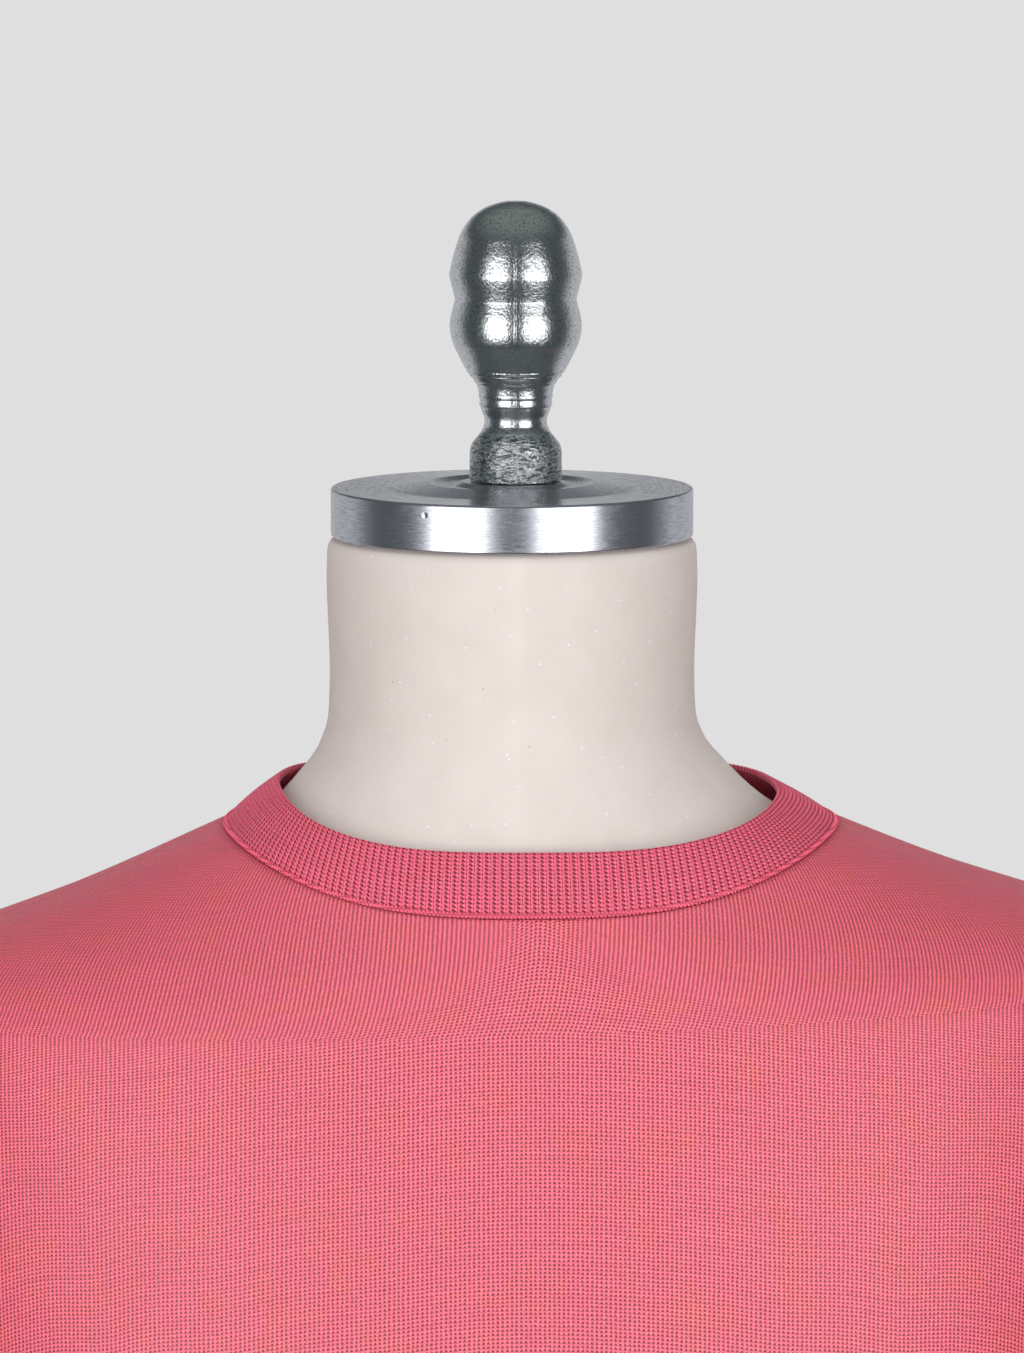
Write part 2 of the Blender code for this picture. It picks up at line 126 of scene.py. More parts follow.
def eased(low: float, high: float, at: Array) -> Array:
    """0 at low, 1 at high and smooth between."""
    part = np.clip((at - low) / (high - low), 0.0, 1.0)
    return part * part * (3 - 2 * part)


def curve_point(low: Array, high: Array, leaves: Array, arrives: Array, part: Array) -> Array:
    """Where a curve from low to high is at a part of its way, from the slopes at its two ends."""
    bend = part * part * (3 - 2 * part)
    return low * (1 - bend) + high * bend + leaves * part * (1 - part) ** 2 - arrives * part ** 2 * (1 - part)


def rounded_power(value: Array, power: Array) -> Array:
    """The size of value raised to power, with value's own sign."""
    return np.copysign(np.abs(value) ** power, value)


def unit(vectors: Array) -> Array:
    """Vectors of length one in the same directions."""
    return vectors / np.maximum(np.linalg.norm(vectors, axis=-1, keepdims=True), 1e-12)


def degrees_off(angle: Array, centre: Array | float) -> Array:
    """How many degrees an angle, in radians, lies from a centre in degrees, the shorter way round."""
    return (np.degrees(angle) - centre + 180) % 360 - 180


def walked(points: Array, axis: int = 0) -> Array:
    """Distance walked from the first of a row of points to each of them, along one axis of a grid."""
    steps = np.linalg.norm(np.diff(points, axis=axis), axis=-1)
    return np.insert(np.cumsum(steps, axis=axis), 0, 0.0, axis=axis)


def surface_normals(surface: Surface, turn: Array, along: Array, step: float = 1e-4) -> Array:
    """Unit normals of a surface that is given by a turn and a distance along it."""
    by_along = surface(turn, along + step) - surface(turn, along - step)
    return unit(np.cross(by_along, surface(turn + step, along) - surface(turn - step, along)))


class TableCurve:
    """Smooth curve through one column of a table that never overshoots a row."""

    def __init__(self, rows: Sequence[tuple], column: str) -> None:
        """Works out the curve's slopes.

        Args:
            rows: the table; its first column is what the curve is read by.
            column: name of the column that the curve runs through.
        """
        ordered = sorted(rows)
        self.spots = np.array([row[0] for row in ordered])
        self.values = np.array([getattr(row, column) for row in ordered])
        chords = np.diff(self.values) / np.diff(self.spots)
        before, after = chords[:-1], chords[1:]
        agree = before * after > 0
        total = np.where(agree, before + after, 1.0)
        inner = np.where(agree, 2 * before * after / total, 0.0)
        self.slopes = np.concatenate([chords[:1], inner, chords[-1:]])

    def __call__(self, at: Array) -> Array:
        """The curve's value; beyond the table it runs on straight."""
        held = np.clip(at, self.spots[0], self.spots[-1])
        low = np.clip(np.searchsorted(self.spots, held) - 1, 0, len(self.spots) - 2)
        step = self.spots[low + 1] - self.spots[low]
        value = curve_point(
            self.values[low], self.values[low + 1], step * self.slopes[low], step * self.slopes[low + 1],
            (held - self.spots[low]) / step,
        )
        return value + np.where(at < self.spots[0], self.slopes[0], self.slopes[-1]) * (at - held)


def table_curves(rows: Sequence[tuple]) -> dict[str, TableCurve]:
    """One curve for each column of a table after the first."""
    return {name: TableCurve(rows, name) for name in rows[0]._fields[1:]}


def add_object(name: str, data: bpy.types.ID) -> bpy.types.Object:
    """Adds an object to the scene.

    Args:
        name: its name.
        data: its mesh, light or camera.

    Returns:
        The object, at the origin.
    """
    made = bpy.data.objects.new(name, data)
    bpy.context.scene.collection.objects.link(made)
    return made


def mesh_object(name: str, bm: bmesh.types.BMesh, material: bpy.types.Material) -> bpy.types.Object:
    """Turns a mesh under construction into an object.

    Args:
        name: the object's name.
        bm: its mesh, in place; it is freed.
        material: its finish.

    Returns:
        The object, shaded smooth.
    """
    mesh = bpy.data.meshes.new(name)
    bm.to_mesh(mesh)
    bm.free()
    mesh.shade_smooth()
    mesh.materials.append(material)
    return add_object(name, mesh)


def finished_piece(name: str, bm: bmesh.types.BMesh, material: bpy.types.Material,
                   node: str | None = None) -> bpy.types.Object:
    """Makes one piece of the part, which rides on the root body.

    Args:
        name: the piece's name.
        bm: its mesh, in place; it is freed.
        material: its finish.
        node: the CAD node that the piece stands for, if any.

    Returns:
        The piece.
    """
    piece = mesh_object(name, bm, material)
    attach(piece, ROOT)
    if node:
        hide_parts(node)
    LOG.info("%s: %d faces", name, len(piece.data.polygons))
    return piece


# ---------------------------------------------------------------- finishes
def grain_scale(size: float) -> float:
    """Scale at which a pattern has features of a size in millimetres."""
    return 1 / (size * MM)


class Grain(NamedTuple):
    """Uneven pattern: the size of its features in millimetres, and how they break up into finer ones."""

    size: float
    detail: float = 2.0
    roughness: float = 0.5

    def over(self, place: Socket) -> dict[str, Socket | float]:
        """Inputs of a noise node that draws the pattern over a place."""
        scale = grain_scale(self.size)
        return {"Vector": place, "Scale": scale, "Detail": self.detail, "Roughness": self.roughness}


class Ramp(NamedTuple):
    """What a value turns into: bottom where it is at low, top where it is at high."""

    low: float
    high: float
    top: float = 1.0
    bottom: float = 0.0

    def of(self, value: Socket) -> dict[int, Socket | float]:
        """Inputs of a map range node that turns a value so."""
        return {0: value, 1: self.low, 2: self.high, 3: self.bottom, 4: self.top}


class Finish:
    """Base of the finishes: a node material on the principled shader."""

    name: str

    def inputs(self, add: Adder) -> dict:
        """What goes into the shader, by the names of its inputs."""
        raise NotImplementedError

    def material(self) -> bpy.types.Material:
        """Makes the finish.

        Returns:
            Its material.
        """
        made = bpy.data.materials.new(self.name)
        made.use_nodes = True
        tree = made.node_tree
        feed(tree, tree.nodes["Principled BSDF"], self.inputs(partial(add_node, tree)))
        return made


@dataclass(frozen=True)
class Stitches:
    """Size and evenness of a knit's stitches, in millimetres."""

    wale: float = 1.45       # from one column of stitches to the next
    course: float = 1.25     # from one row to the next; really 1.1, drawn coarser so that rows show
    leg_rise: float = 0.55   # climb of a stitch's legs from the groove to the middle of their V
    wander: float = 0.42     # how far yarns stray from an even lattice
    stray: Grain = Grain(3.2, 3.0, 0.75)

    def strayed(self, add: Adder) -> Socket:
        """A piece's cut, shifted here and there as uneven yarn and tension shift the stitches."""
        cut = add("UVMap", uv_map=CUT)
        noise = add("TexNoise", self.stray.over(cut), out="Color")
        centred = add("VectorMath", {0: noise, 1: (0.5, 0.5, 0.5)}, operation="SUBTRACT")
        shift = add("VectorMath", {0: centred, 3: 2 * self.wander * MM}, operation="SCALE")
        return add("VectorMath", {0: cut, 1: shift}, operation="ADD")

    def across(self, add: Adder, cut: Socket) -> Socket:
        """Where a point lies in its column: 0 in the groove beside it, 1 on its middle."""
        half = self.wale * MM / 2
        folded = add("Math", {0: add("SeparateXYZ", {0: cut}, out="X"), 1: half}, operation="PINGPONG")
        return add("Math", {0: folded, 1: half}, operation="DIVIDE")

    def between_rows(self, add: Adder, cut: Socket, across: Socket) -> Socket:
        """Where a point lies in its row: 0 along the middle of a yarn, 1 between two yarns; the rows
        bend into a V over every column."""
        along = add("SeparateXYZ", {0: cut}, out="Y")
        bent = add("Math", {0: across, 1: self.leg_rise * MM, 2: along}, operation="MULTIPLY_ADD")
        half = self.course * MM / 2
        folded = add("Math", {0: bent, 1: half}, operation="PINGPONG")
        return add("Math", {0: folded, 1: half}, operation="DIVIDE")


PATCH = Grain(16.0, 3.0, 0.6)          # slow changes of shade
WARMTH = Ramp(0.44, 0.74, 0.6)         # how far they turn the yarn to its warm shade
STREAK_LENGTH = 45.0                   # millimetres: rows that took the dye unlike their neighbours
STREAK_HEIGHT = 1.4
STREAK_SHARE = 0.35
FLUFF = Grain(0.8, 2.0, 0.8)           # tufts of fibre ends
SHADE = Ramp(0.40, 0.95, 1.25, 0.72)   # from the darkest to the palest yarn


class Knit(Finish):
    """Base of the two knitted finishes: wool yarn with a soft haze of fibre ends."""

    yarn: str
    warm: str
    # colour painted into the deepest places: painted shade in the grooves, between rows and in the pin holes
    groove_shade: str
    stitches: Stitches
    roughness: float
    specular: float
    relief: float
    valley: Ramp           # between two columns
    hole_across: Ramp
    hole_up: Ramp
    dashes: Ramp           # between two rows
    haze: float = 1.50     # refractive index that stands for the pale haze of fibre ends

    def sunk(self, add: Adder, beside: Socket, rows: Socket) -> Socket:
        """How deep the surface lies by its place in a column and a row: the valley between two columns,
        the dashes between rows, and the pin holes where they meet."""
        valley = add("MapRange", self.valley.of(beside), **SMOOTH)
        dashes = add("MapRange", self.dashes.of(rows), **SMOOTH)
        lined = add("Math", {0: valley, 1: dashes}, operation="ADD")
        pinched = add("MapRange", self.hole_across.of(beside), **SMOOTH)
        opened = add("MapRange", self.hole_up.of(rows), **SMOOTH)
        return add("Math", {0: pinched, 1: opened, 2: lined}, operation="MULTIPLY_ADD")

    def depth(self, add: Adder) -> Socket:
        """How deep the surface lies between the yarns: 0 on top of a yarn, 1 in a pin hole."""
        raise NotImplementedError

    def dyed(self, add: Adder) -> Socket:
        """The yarn's colour, with its slow changes of shade and the unevenness of single rows."""
        cut = add("UVMap", uv_map=CUT)
        warmth = add("MapRange", WARMTH.of(add("TexNoise", PATCH.over(cut))), **SMOOTH)
        tone = add("Mix", {0: warmth, 6: linear(self.yarn), 7: linear(self.warm)}, **RGBA)
        streak = (grain_scale(STREAK_LENGTH), grain_scale(STREAK_HEIGHT), 1.0)
        stretched = add("Mapping", {"Vector": cut, "Scale": streak})
        streaks = add("TexNoise", {"Vector": stretched, "Scale": 1.0, "Detail": 1.0})
        fluff = add("TexNoise", FLUFF.over(cut))
        uneven = add("Math", {0: streaks, 1: STREAK_SHARE, 2: fluff}, operation="MULTIPLY_ADD")
        return add("VectorMath", {0: tone, 3: add("MapRange", SHADE.of(uneven))}, operation="SCALE")

    def inputs(self, add: Adder) -> dict:
        """What goes into the shader, by the names of its inputs."""
        depth = self.depth(add)
        # The deeper the surface lies, the nearer its colour comes to the groove colour: painted shade in the
        # grooves, in the line between a rib's legs, between rows and in the pin holes; the same depth drives
        # the bump.
        colour = add("Mix", {0: depth, 6: self.dyed(add), 7: linear(self.groove_shade)}, **RGBA)
        height = add("Math", {0: 1.0, 1: depth}, operation="SUBTRACT")
        bump = add("Bump", {"Height": height, "Distance": self.relief * MM, "Strength": 1.0})
        return {
            "Base Color": colour, "Normal": bump, "Roughness": self.roughness,
            "Specular IOR Level": self.specular, "IOR": self.haze,
        }


@dataclass(frozen=True)
class RibKnit(Knit):
    """Worsted wool yarn in a one-by-one rib: each raised column shows its two legs with a thin line between
    them, and the sunk column shows as a zigzag with a hole at every turn; the line, the zigzag and the holes
    are painted dark as shade."""

    name: str = "fine_gauge_wool_rib_knit"
    yarn: str = "#FC6C8A"
    warm: str = "#FC6C7E"
    # painted shade in the sunk column, in the line between the legs and in the holes
    groove_shade: str = "#6E0822"
    stitches: Stitches = Stitches(wale=2.55, course=1.40, wander=0.20)
    roughness: float = 0.60
    specular: float = 0.55
    relief: float = 0.24
    zigzag: float = 0.10       # sideways reach of the sunk column's zigzag, in columns
    valley: Ramp = Ramp(0.52, 0.14, 0.58)
    line: Ramp = Ramp(0.84, 0.98, 0.58)
    hole_across: Ramp = Ramp(0.46, 0.10)
    hole_up: Ramp = Ramp(0.30, 0.85, 0.55)
    dashes: Ramp = Ramp(0.50, 1.0, 0.46)

    def depth(self, add: Adder) -> Socket:
        """How deep the surface lies; a sideways swing at every row draws the zigzag."""
        stitches = self.stitches
        cut = stitches.strayed(add)
        across = stitches.across(add, cut)
        rows = stitches.between_rows(add, cut, across)
        up = add("SeparateXYZ", {0: cut}, out="Y")
        phase = add("Math", {0: up, 1: math.tau / (stitches.course * MM)}, operation="MULTIPLY")
        swing = add("Math", {0: phase}, operation="SINE")
        reach = add("Math", {0: swing, 1: self.zigzag * stitches.wale * MM}, operation="MULTIPLY")
        shift = add("CombineXYZ", {"X": reach})
        swung = stitches.across(add, add("VectorMath", {0: cut, 1: shift}, operation="ADD"))
        line = add("MapRange", self.line.of(across), **SMOOTH)
        return add("Math", {0: self.sunk(add, swung, rows), 1: line}, operation="ADD", use_clamp=True)


@dataclass(frozen=True)
class PlainKnit(Knit):
    """Worsted wool yarn, knitted plain at a fine gauge and steamed: even columns of small V stitches and pin
    holes between them, the holes and the rows between painted dark as shade. The first rows of a piece are
    its ribbed welt or cuff."""

    name: str = "fine_gauge_wool_plain_knit"
    yarn: str = "#FA6C84"
    warm: str = "#FA746A"
    # painted shade between columns, between rows and in the pin holes
    groove_shade: str = "#86102F"
    stitches: Stitches = Stitches()
    roughness: float = 0.50
    specular: float = 0.90
    relief: float = 0.20
    valley: Ramp = Ramp(0.55, 0.0, 0.24)
    hole_across: Ramp = Ramp(0.76, 0.12)
    hole_up: Ramp = Ramp(0.20, 0.82)
    dashes: Ramp = Ramp(0.50, 1.0, 0.34)
    welt: RibKnit = RibKnit()
    welt_top: Ramp = Ramp(52.6 * MM, 52.0 * MM)

    def depth(self, add: Adder) -> Socket:
        """How deep the surface lies; up to its welt's top a piece is ribbed."""
        cut = self.stitches.strayed(add)
        across = self.stitches.across(add, cut)
        sunk = self.sunk(add, across, self.stitches.between_rows(add, cut, across))
        plain = add("Math", {0: sunk, 1: 1.0}, operation="MINIMUM")
        up = add("SeparateXYZ", {0: add("UVMap", uv_map=CUT)}, out="Y")
        ribbed = add("MapRange", self.welt_top.of(up), **SMOOTH)
        return add("Mix", {0: ribbed, 2: plain, 3: self.welt.depth(add)}, data_type="FLOAT")


def off_plane(add: Adder, place: Socket, x: float) -> Socket:
    """How far a place lies from the upright plane at x."""
    signed = add("Math", {0: add("SeparateXYZ", {0: place}, out="X"), 1: -x}, operation="ADD")
    return add("Math", {0: signed}, operation="ABSOLUTE")


class Fleck(NamedTuple):
    """One kind of stray fibre or seed in the canvas."""

    colour: str
    spacing: float      # millimetres between two flecks
    size: float         # share of the spacing
    strength: float
    offset: float       # moves the pattern, so that kinds don't fall together
    heart: float = 0.4  # share of a fleck at full strength

    def laid_on(self, add: Adder, place: Socket, under: Socket) -> Socket:
        """The colour under, with this kind's flecks on it."""
        moved = add("Mapping", {"Vector": place, "Location": (self.offset, self.offset, 0.0)})
        cells = add("TexVoronoi", {"Vector": moved, "Scale": grain_scale(self.spacing)}, out="Distance")
        spot = add("MapRange", Ramp(self.size, self.size * self.heart, self.strength).of(cells))
        return add("Mix", {0: spot, 6: under, 7: linear(self.colour)}, **RGBA)


@dataclass(frozen=True)
class Canvas(Finish):
    """Unbleached cotton canvas, woven plain and stretched over the form: a dull, slightly uneven cream
    with a fine weave, and stray dark, pink and yellow flecks of seed and lint."""

    name: str = "unbleached_cotton_canvas"
    cloth: str = "#D9D0CB"
    shaded: str = "#CDC3BE"
    # colour of the band along the centre-front seam, paler than the cloth: a painted highlight
    seam: str = "#E2DAD4"
    mottle: Grain = Grain(14.0, 5.0)
    weave: Grain = Grain(0.9, 2.0, 0.7)    # real threads of 0.5 mm are drawn as coarse as they show
    seam_x: float = 0.0010
    seam_edge: Ramp = Ramp(5.0 * MM, 0.0, 0.14)
    roughness: float = 0.85
    specular: float = 0.3
    relief: float = 0.14
    flecks: tuple[Fleck, ...] = table(
        Fleck,
        ("#8F7F78", 9.0, 0.050, 0.55, 0.013),
        ("#D98E9A", 12.0, 0.045, 0.55, 0.037),
        ("#D8C47E", 10.0, 0.060, 0.50, 0.071),
        ("#FFFFFF", 5.0, 0.090, 0.50, 0.093),
    )

    def inputs(self, add: Adder) -> dict:
        """What goes into the shader, by the names of its inputs."""
        place = add("TexCoord", out="Object")
        mottle = add("TexNoise", self.mottle.over(place))
        colour = add("Mix", {0: mottle, 6: linear(self.shaded), 7: linear(self.cloth)}, **RGBA)
        for fleck in self.flecks:
            colour = fleck.laid_on(add, place, colour)
        # A band within 5 mm of the centre-front seam is raised as the seam's ridge and painted paler; the
        # paler colour is a painted highlight along the seam.
        seam = add("MapRange", self.seam_edge.of(off_plane(add, place, self.seam_x)), **SMOOTH)
        colour = add("Mix", {0: seam, 6: colour, 7: linear(self.seam)}, **RGBA)
        raised = add("Math", {0: add("TexNoise", self.weave.over(place)), 1: seam}, operation="ADD")
        bump = add("Bump", {"Height": raised, "Distance": self.relief * MM, "Strength": 0.7})
        return {
            "Base Color": colour, "Normal": bump, "Roughness": self.roughness,
            "Specular IOR Level": self.specular,
        }


@dataclass(frozen=True)
class BrushedAluminium(Finish):
    """Aluminium turned on a lathe and brushed round its axis: the fine rings spread each reflection
    into a soft patch, and a few deeper scratches catch the light."""

    name: str = "brushed_turned_aluminium"
    metal: str = "#DADBE1"
    scratch: str = "#AEB0B8"
    ring: Grain = Grain(0.45, 3.0, 0.75)       # finer rings are drawn as coarse as they show
    ring_change: float = 0.004                 # how much a ring changes on its way round
    scratched: Ramp = Ramp(0.35, 0.7)
    rough: Ramp = Ramp(0.3, 0.7, 0.30, 0.15)
    anisotropy: float = 0.55
    relief: float = 0.05
    nick: tuple[float, float, float] = (-0.02737, -0.05170, 0.98540)   # in the rim, left of its front
    nick_depth: Ramp = Ramp(0.0, 1.2 * MM, 0.0, -9.0)

    def inputs(self, add: Adder) -> dict:
        """What goes into the shader, by the names of its inputs."""
        place = add("TexCoord", out="Object")
        flat = add("VectorMath", {0: place, 1: (1.0, 1.0, 0.0)}, operation="MULTIPLY")
        radius = add("VectorMath", {0: flat}, out="Value", operation="LENGTH")
        split = add("SeparateXYZ", {0: place}).node.outputs
        turn = add("Math", {0: split["X"], 1: split["Y"]}, operation="ARCTAN2")
        slow = add("Math", {0: turn, 1: self.ring_change}, operation="MULTIPLY")
        rings = add("CombineXYZ", {"X": radius, "Y": slow, "Z": split["Z"]})
        brushing = add("TexNoise", self.ring.over(rings))
        lines = add("MapRange", self.scratched.of(brushing))
        colour = add("Mix", {0: lines, 6: linear(self.metal), 7: linear(self.scratch)}, **RGBA)
        to_nick = add("VectorMath", {0: place, 1: self.nick}, out="Value", operation="DISTANCE")
        dent = add("MapRange", self.nick_depth.of(to_nick), **SMOOTH)
        relief = add("Math", {0: brushing, 1: dent}, operation="ADD")
        bump = add("Bump", {"Height": relief, "Distance": self.relief * MM, "Strength": 0.35})
        return {
            "Base Color": colour, "Normal": bump, "Roughness": add("MapRange", self.rough.of(brushing)),
            "Tangent": add("Tangent", direction_type="RADIAL", axis="Z"),
            "Metallic": 1.0, "Anisotropic": self.anisotropy,
        }


@dataclass(frozen=True)
class PolishedAluminium(Finish):
    """Sand-cast aluminium, turned and polished: bright sharp reflections, broken by fine casting pits,
    by file marks on the foot ring and by the faint line where the mould's halves met."""

    name: str = "polished_cast_aluminium"
    metal: str = "#D9DBDD"
    stain: str = "#70787A"
    pits: Grain = Grain(0.80, 3.0, 0.7)
    ripples: Grain = Grain(3.2)
    ripple_share: float = 0.5
    stroke: tuple[float, float, float] = (3.0, 3.0, 0.80)    # millimetres: size of a file mark
    stroke_turn: float = math.radians(28)
    on_foot: Ramp = Ramp(1.0070, 1.0050, 9.0)     # their depth by height, against the casting pits
    filed_stain: Ramp = Ramp(0.50, 0.60)
    pit_stain: Ramp = Ramp(0.52, 0.68, 0.9)
    rough: Ramp = Ramp(0.35, 0.7, 0.25, 0.09)
    mould_x: float = 0.0010
    mould_line: Ramp = Ramp(0.6 * MM, 0.0, 0.5)
    relief: float = 0.09

    def inputs(self, add: Adder) -> dict:
        """What goes into the shader, by the names of its inputs."""
        place = add("TexCoord", out="Object")
        pits = add("TexNoise", self.pits.over(place))
        ripples = add("TexNoise", self.ripples.over(place))
        strokes = add("Mapping", {
            "Vector": place, "Rotation": (0.0, self.stroke_turn, 0.0),
            "Scale": tuple(grain_scale(size) for size in self.stroke),
        })
        filed = add("TexNoise", {"Vector": strokes, "Scale": 1.0, "Detail": 3.0, "Roughness": 0.7})
        on_foot = add("MapRange", self.on_foot.of(add("SeparateXYZ", {0: place}, out="Z")))
        line = add("MapRange", self.mould_line.of(off_plane(add, place, self.mould_x)), **SMOOTH)
        cast = add("Math", {0: ripples, 1: self.ripple_share, 2: pits}, operation="MULTIPLY_ADD")
        dented = add("Math", {0: filed, 1: on_foot, 2: cast}, operation="MULTIPLY_ADD")
        relief = add("Math", {0: dented, 1: line}, operation="ADD")
        bump = add("Bump", {"Height": relief, "Distance": self.relief * MM, "Strength": 1.0})
        marks = {
            0: add("MapRange", self.filed_stain.of(filed), **SMOOTH),
            1: add("MapRange", Ramp(0.0, self.on_foot.top).of(on_foot), **SMOOTH),
            2: add("MapRange", self.pit_stain.of(pits)),
        }
        stained = add("Math", marks, operation="MULTIPLY_ADD", use_clamp=True)
        colour = add("Mix", {0: stained, 6: linear(self.metal), 7: linear(self.stain)}, **RGBA)
        rough = add("MapRange", self.rough.of(pits))
        return {"Base Color": colour, "Normal": bump, "Roughness": rough, "Metallic": 1.0}


@dataclass(frozen=True)
class SatinSteel(Finish):
    """Mild steel, ground and nickel-plated satin: a soft grey shine with a fine grain and faint
    smudges from handling."""

    name: str = "satin_nickel_plated_steel"
    metal: str = "#BDBEC0"
    smudge: str = "#A3A4A6"
    smudges: Grain = Grain(45.0, 4.0)
    grain: Grain = Grain(0.6)
    rough: Ramp = Ramp(0.0, 1.0, 0.42, 0.26)
    relief: float = 0.02

    def inputs(self, add: Adder) -> dict:
        """What goes into the shader, by the names of its inputs."""
        place = add("TexCoord", out="Object")
        smudges = add("TexNoise", self.smudges.over(place))
        colour = add("Mix", {0: smudges, 6: linear(self.metal), 7: linear(self.smudge)}, **RGBA)
        grain = add("TexNoise", self.grain.over(place))
        bump = add("Bump", {"Height": grain, "Distance": self.relief * MM, "Strength": 0.5})
        rough = add("MapRange", self.rough.of(smudges))
        return {"Base Color": colour, "Normal": bump, "Roughness": rough, "Metallic": 1.0}


@dataclass(frozen=True)
class FloorPaper(Finish):
    """Matt background paper, unrolled: a flat pale grey without shine."""

    name: str = "pale_paper_floor"
    paper: str = "#E4E4E3"
    roughness: float = 0.9

    def inputs(self, add: Adder) -> dict:
        """What goes into the shader, by the names of its inputs."""
        return {"Base Color": linear(self.paper), "Roughness": self.roughness}


# ---------------------------------------------------------------- the body's surface
class Section(NamedTuple):
    """Horizontal section of the garment or the form: half sizes, and how square its corners are."""

    height: float
    half_width: float
    front: float
    back: float
    squareness: float


class BodyFold(NamedTuple):
    """Vertical fold: degrees from +X by the front, the height where it begins, and its size."""

    angle: float
    start: float
    width: float
    lift: float
    slant: float


class Crease(NamedTuple):
    """Soft ridge (lift over 0) or trough in a panel, in metres over the panel's own cut.

    across is measured from the panel's middle line and up from its hem; turn is the crease's angle
    from the level, in degrees, and bow bends it."""

    across: float
    up: float
    turn: float
    length: float
    width: float
    lift: float
    bow: float


class Facing(Enum):
    """Which way a body panel faces."""

    FRONT = 1
    BACK = -1


@dataclass
class Torso:
    """The garment's body: the skin that both panels, the collar and the armholes lie on."""

    hem: float = -0.680
    underarm: float = -0.262
    shoulder_tip: float = -0.051
    tip_half_width: float = 0.215
    armhole_half_depth: float = 0.078
    roll: float = 0.0280                       # the shoulders lean to -X by this slope
    roll_begins: tuple[float, float] = (-0.45, -0.10)
    roll_ends: tuple[float, float] = (0.014, 0.045)
    neckline_tilt: float = 0.0026              # the top has slipped a little to +X
    neckline_front: float = -0.0175
    neckline_back: float = -0.0085
    neckline_flat: float = 3.0
    neckline_climb: float = 1.35
    fold_ramp: float = 0.15                    # height over which a vertical fold grows
    welt: tuple[float, float] = (-0.665, -0.615)
    welt_keeps: float = 0.35                   # share of the folds that the ribbed hem lets through

    sections: tuple[Section, ...] = table(
        Section,
        (0.012, 0.0720, 0.0690, 0.0640, 2.10),
        (0.000, 0.1000, 0.0765, 0.0740, 2.10),
        (-0.019, 0.1450, 0.0865, 0.0880, 2.15),
        (-0.035, 0.1900, 0.0950, 0.1000, 2.20),
        (-0.044, 0.2095, 0.0990, 0.1045, 2.25),
        (-0.051, 0.2150, 0.1020, 0.1075, 2.30),
        (-0.100, 0.2100, 0.1170, 0.1180, 2.40),
        (-0.160, 0.2010, 0.1275, 0.1220, 2.45),
        (-0.262, 0.1930, 0.1310, 0.1200, 2.45),
        (-0.400, 0.1860, 0.1210, 0.1095, 2.40),
        (-0.540, 0.1900, 0.1210, 0.1180, 2.40),
        (-0.610, 0.1920, 0.1220, 0.1220, 2.40),
        (-0.640, 0.1850, 0.1165, 0.1175, 2.40),
        (-0.680, 0.1820, 0.1140, 0.1160, 2.40),
    )
    folds: tuple[BodyFold, ...] = table(
        BodyFold,
        (26, -0.270, 8, 0.0085, 40),
        (57, -0.400, 9, 0.0060, 14),
        (104, -0.440, 8, 0.0050, -8),
        (128, -0.350, 9, 0.0075, -18),
        (156, -0.280, 7, 0.0090, -36),
        (-26, -0.280, 8, 0.0085, -34),
        (-60, -0.350, 9, 0.0080, -10),
        (-97, -0.420, 8, 0.0060, 6),
        (-124, -0.310, 9, 0.0085, 16),
        (-153, -0.270, 8, 0.0080, 32),
    )

    def __post_init__(self) -> None:
        """Prepares the curves through the sections."""
        self.curves = table_curves(self.sections)
        self.armhole_middle = (self.shoulder_tip + self.underarm) / 2
        self.armhole_rise = (self.shoulder_tip - self.underarm) / 2

    def fold_lift(self, angle: Array, height: Array) -> Array:
        """How far the vertical folds stand out from the plain section."""
        total = np.zeros(np.broadcast(angle, height).shape)
        for fold in self.folds:
            below = np.maximum(fold.start - height, 0.0)
            turned = degrees_off(angle, fold.angle + fold.slant * below)
            total += fold.lift * eased(0, self.fold_ramp, below) * np.exp(-(turned / fold.width) ** 2)
        return total * (self.welt_keeps + (1 - self.welt_keeps) * eased(*self.welt, height))

    def point(self, angle: Array, height: Array) -> Array:
        """Points of the outer skin before the lean. Angle 0 is +X, a quarter turn is the front."""
        return section_points(self.curves, angle, height, self.fold_lift(angle, height))

    def placed(self, points: Array) -> Array:
        """Points measured from the shoulder point, leaned and set at their height above the base."""
        reach = np.clip(points[..., 0], -self.tip_half_width, self.tip_half_width)
        height = points[..., 2]
        lean = self.roll * reach * eased(*self.roll_begins, height)
        lean = lean * (1 - eased(*self.roll_ends, height))
        return points + np.stack([0 * lean, 0 * lean, lean + SHOULDER_POINT], axis=-1)

    def armhole_angle(self, turn: Array) -> Array:
        """Section angle where the armhole passes; turn 0 is its top, a quarter turn its front."""
        height = self.armhole_middle + self.armhole_rise * np.cos(turn)
        across = self.armhole_half_depth * np.sin(turn)
        depth = np.where(across > 0, self.curves["front"](height), self.curves["back"](height))
        share = (np.abs(across) / depth) ** (self.curves["squareness"](height) / 2)
        return np.copysign(np.arcsin(share), across)

    def armhole_point(self, turn: Array) -> Array:
        """Points of the armhole seam on the +X side."""
        return self.point(self.armhole_angle(turn), self.armhole_middle + self.armhole_rise * np.cos(turn))

    def neckline(self, turn: Array) -> tuple[Array, Array]:
        """Section angle and height of the neckline seam; turn 0 is on the +X ridge."""
        across = np.cos(turn)
        low_point = np.where(np.sin(turn) > 0, self.neckline_front, self.neckline_back)
        dip = low_point * (1 - np.abs(across) ** self.neckline_flat) ** self.neckline_climb
        height = dip - self.neckline_tilt * across
        half_width = self.curves["half_width"]
        right, left = half_width(-self.neckline_tilt), half_width(self.neckline_tilt)
        x = (right + left) / 2 * across + (right - left) / 2
        share = np.clip(x / half_width(height), -1.0, 1.0)
        angle = np.arccos(rounded_power(share, self.curves["squareness"](height) / 2))
        return np.copysign(angle, np.sin(turn)), height


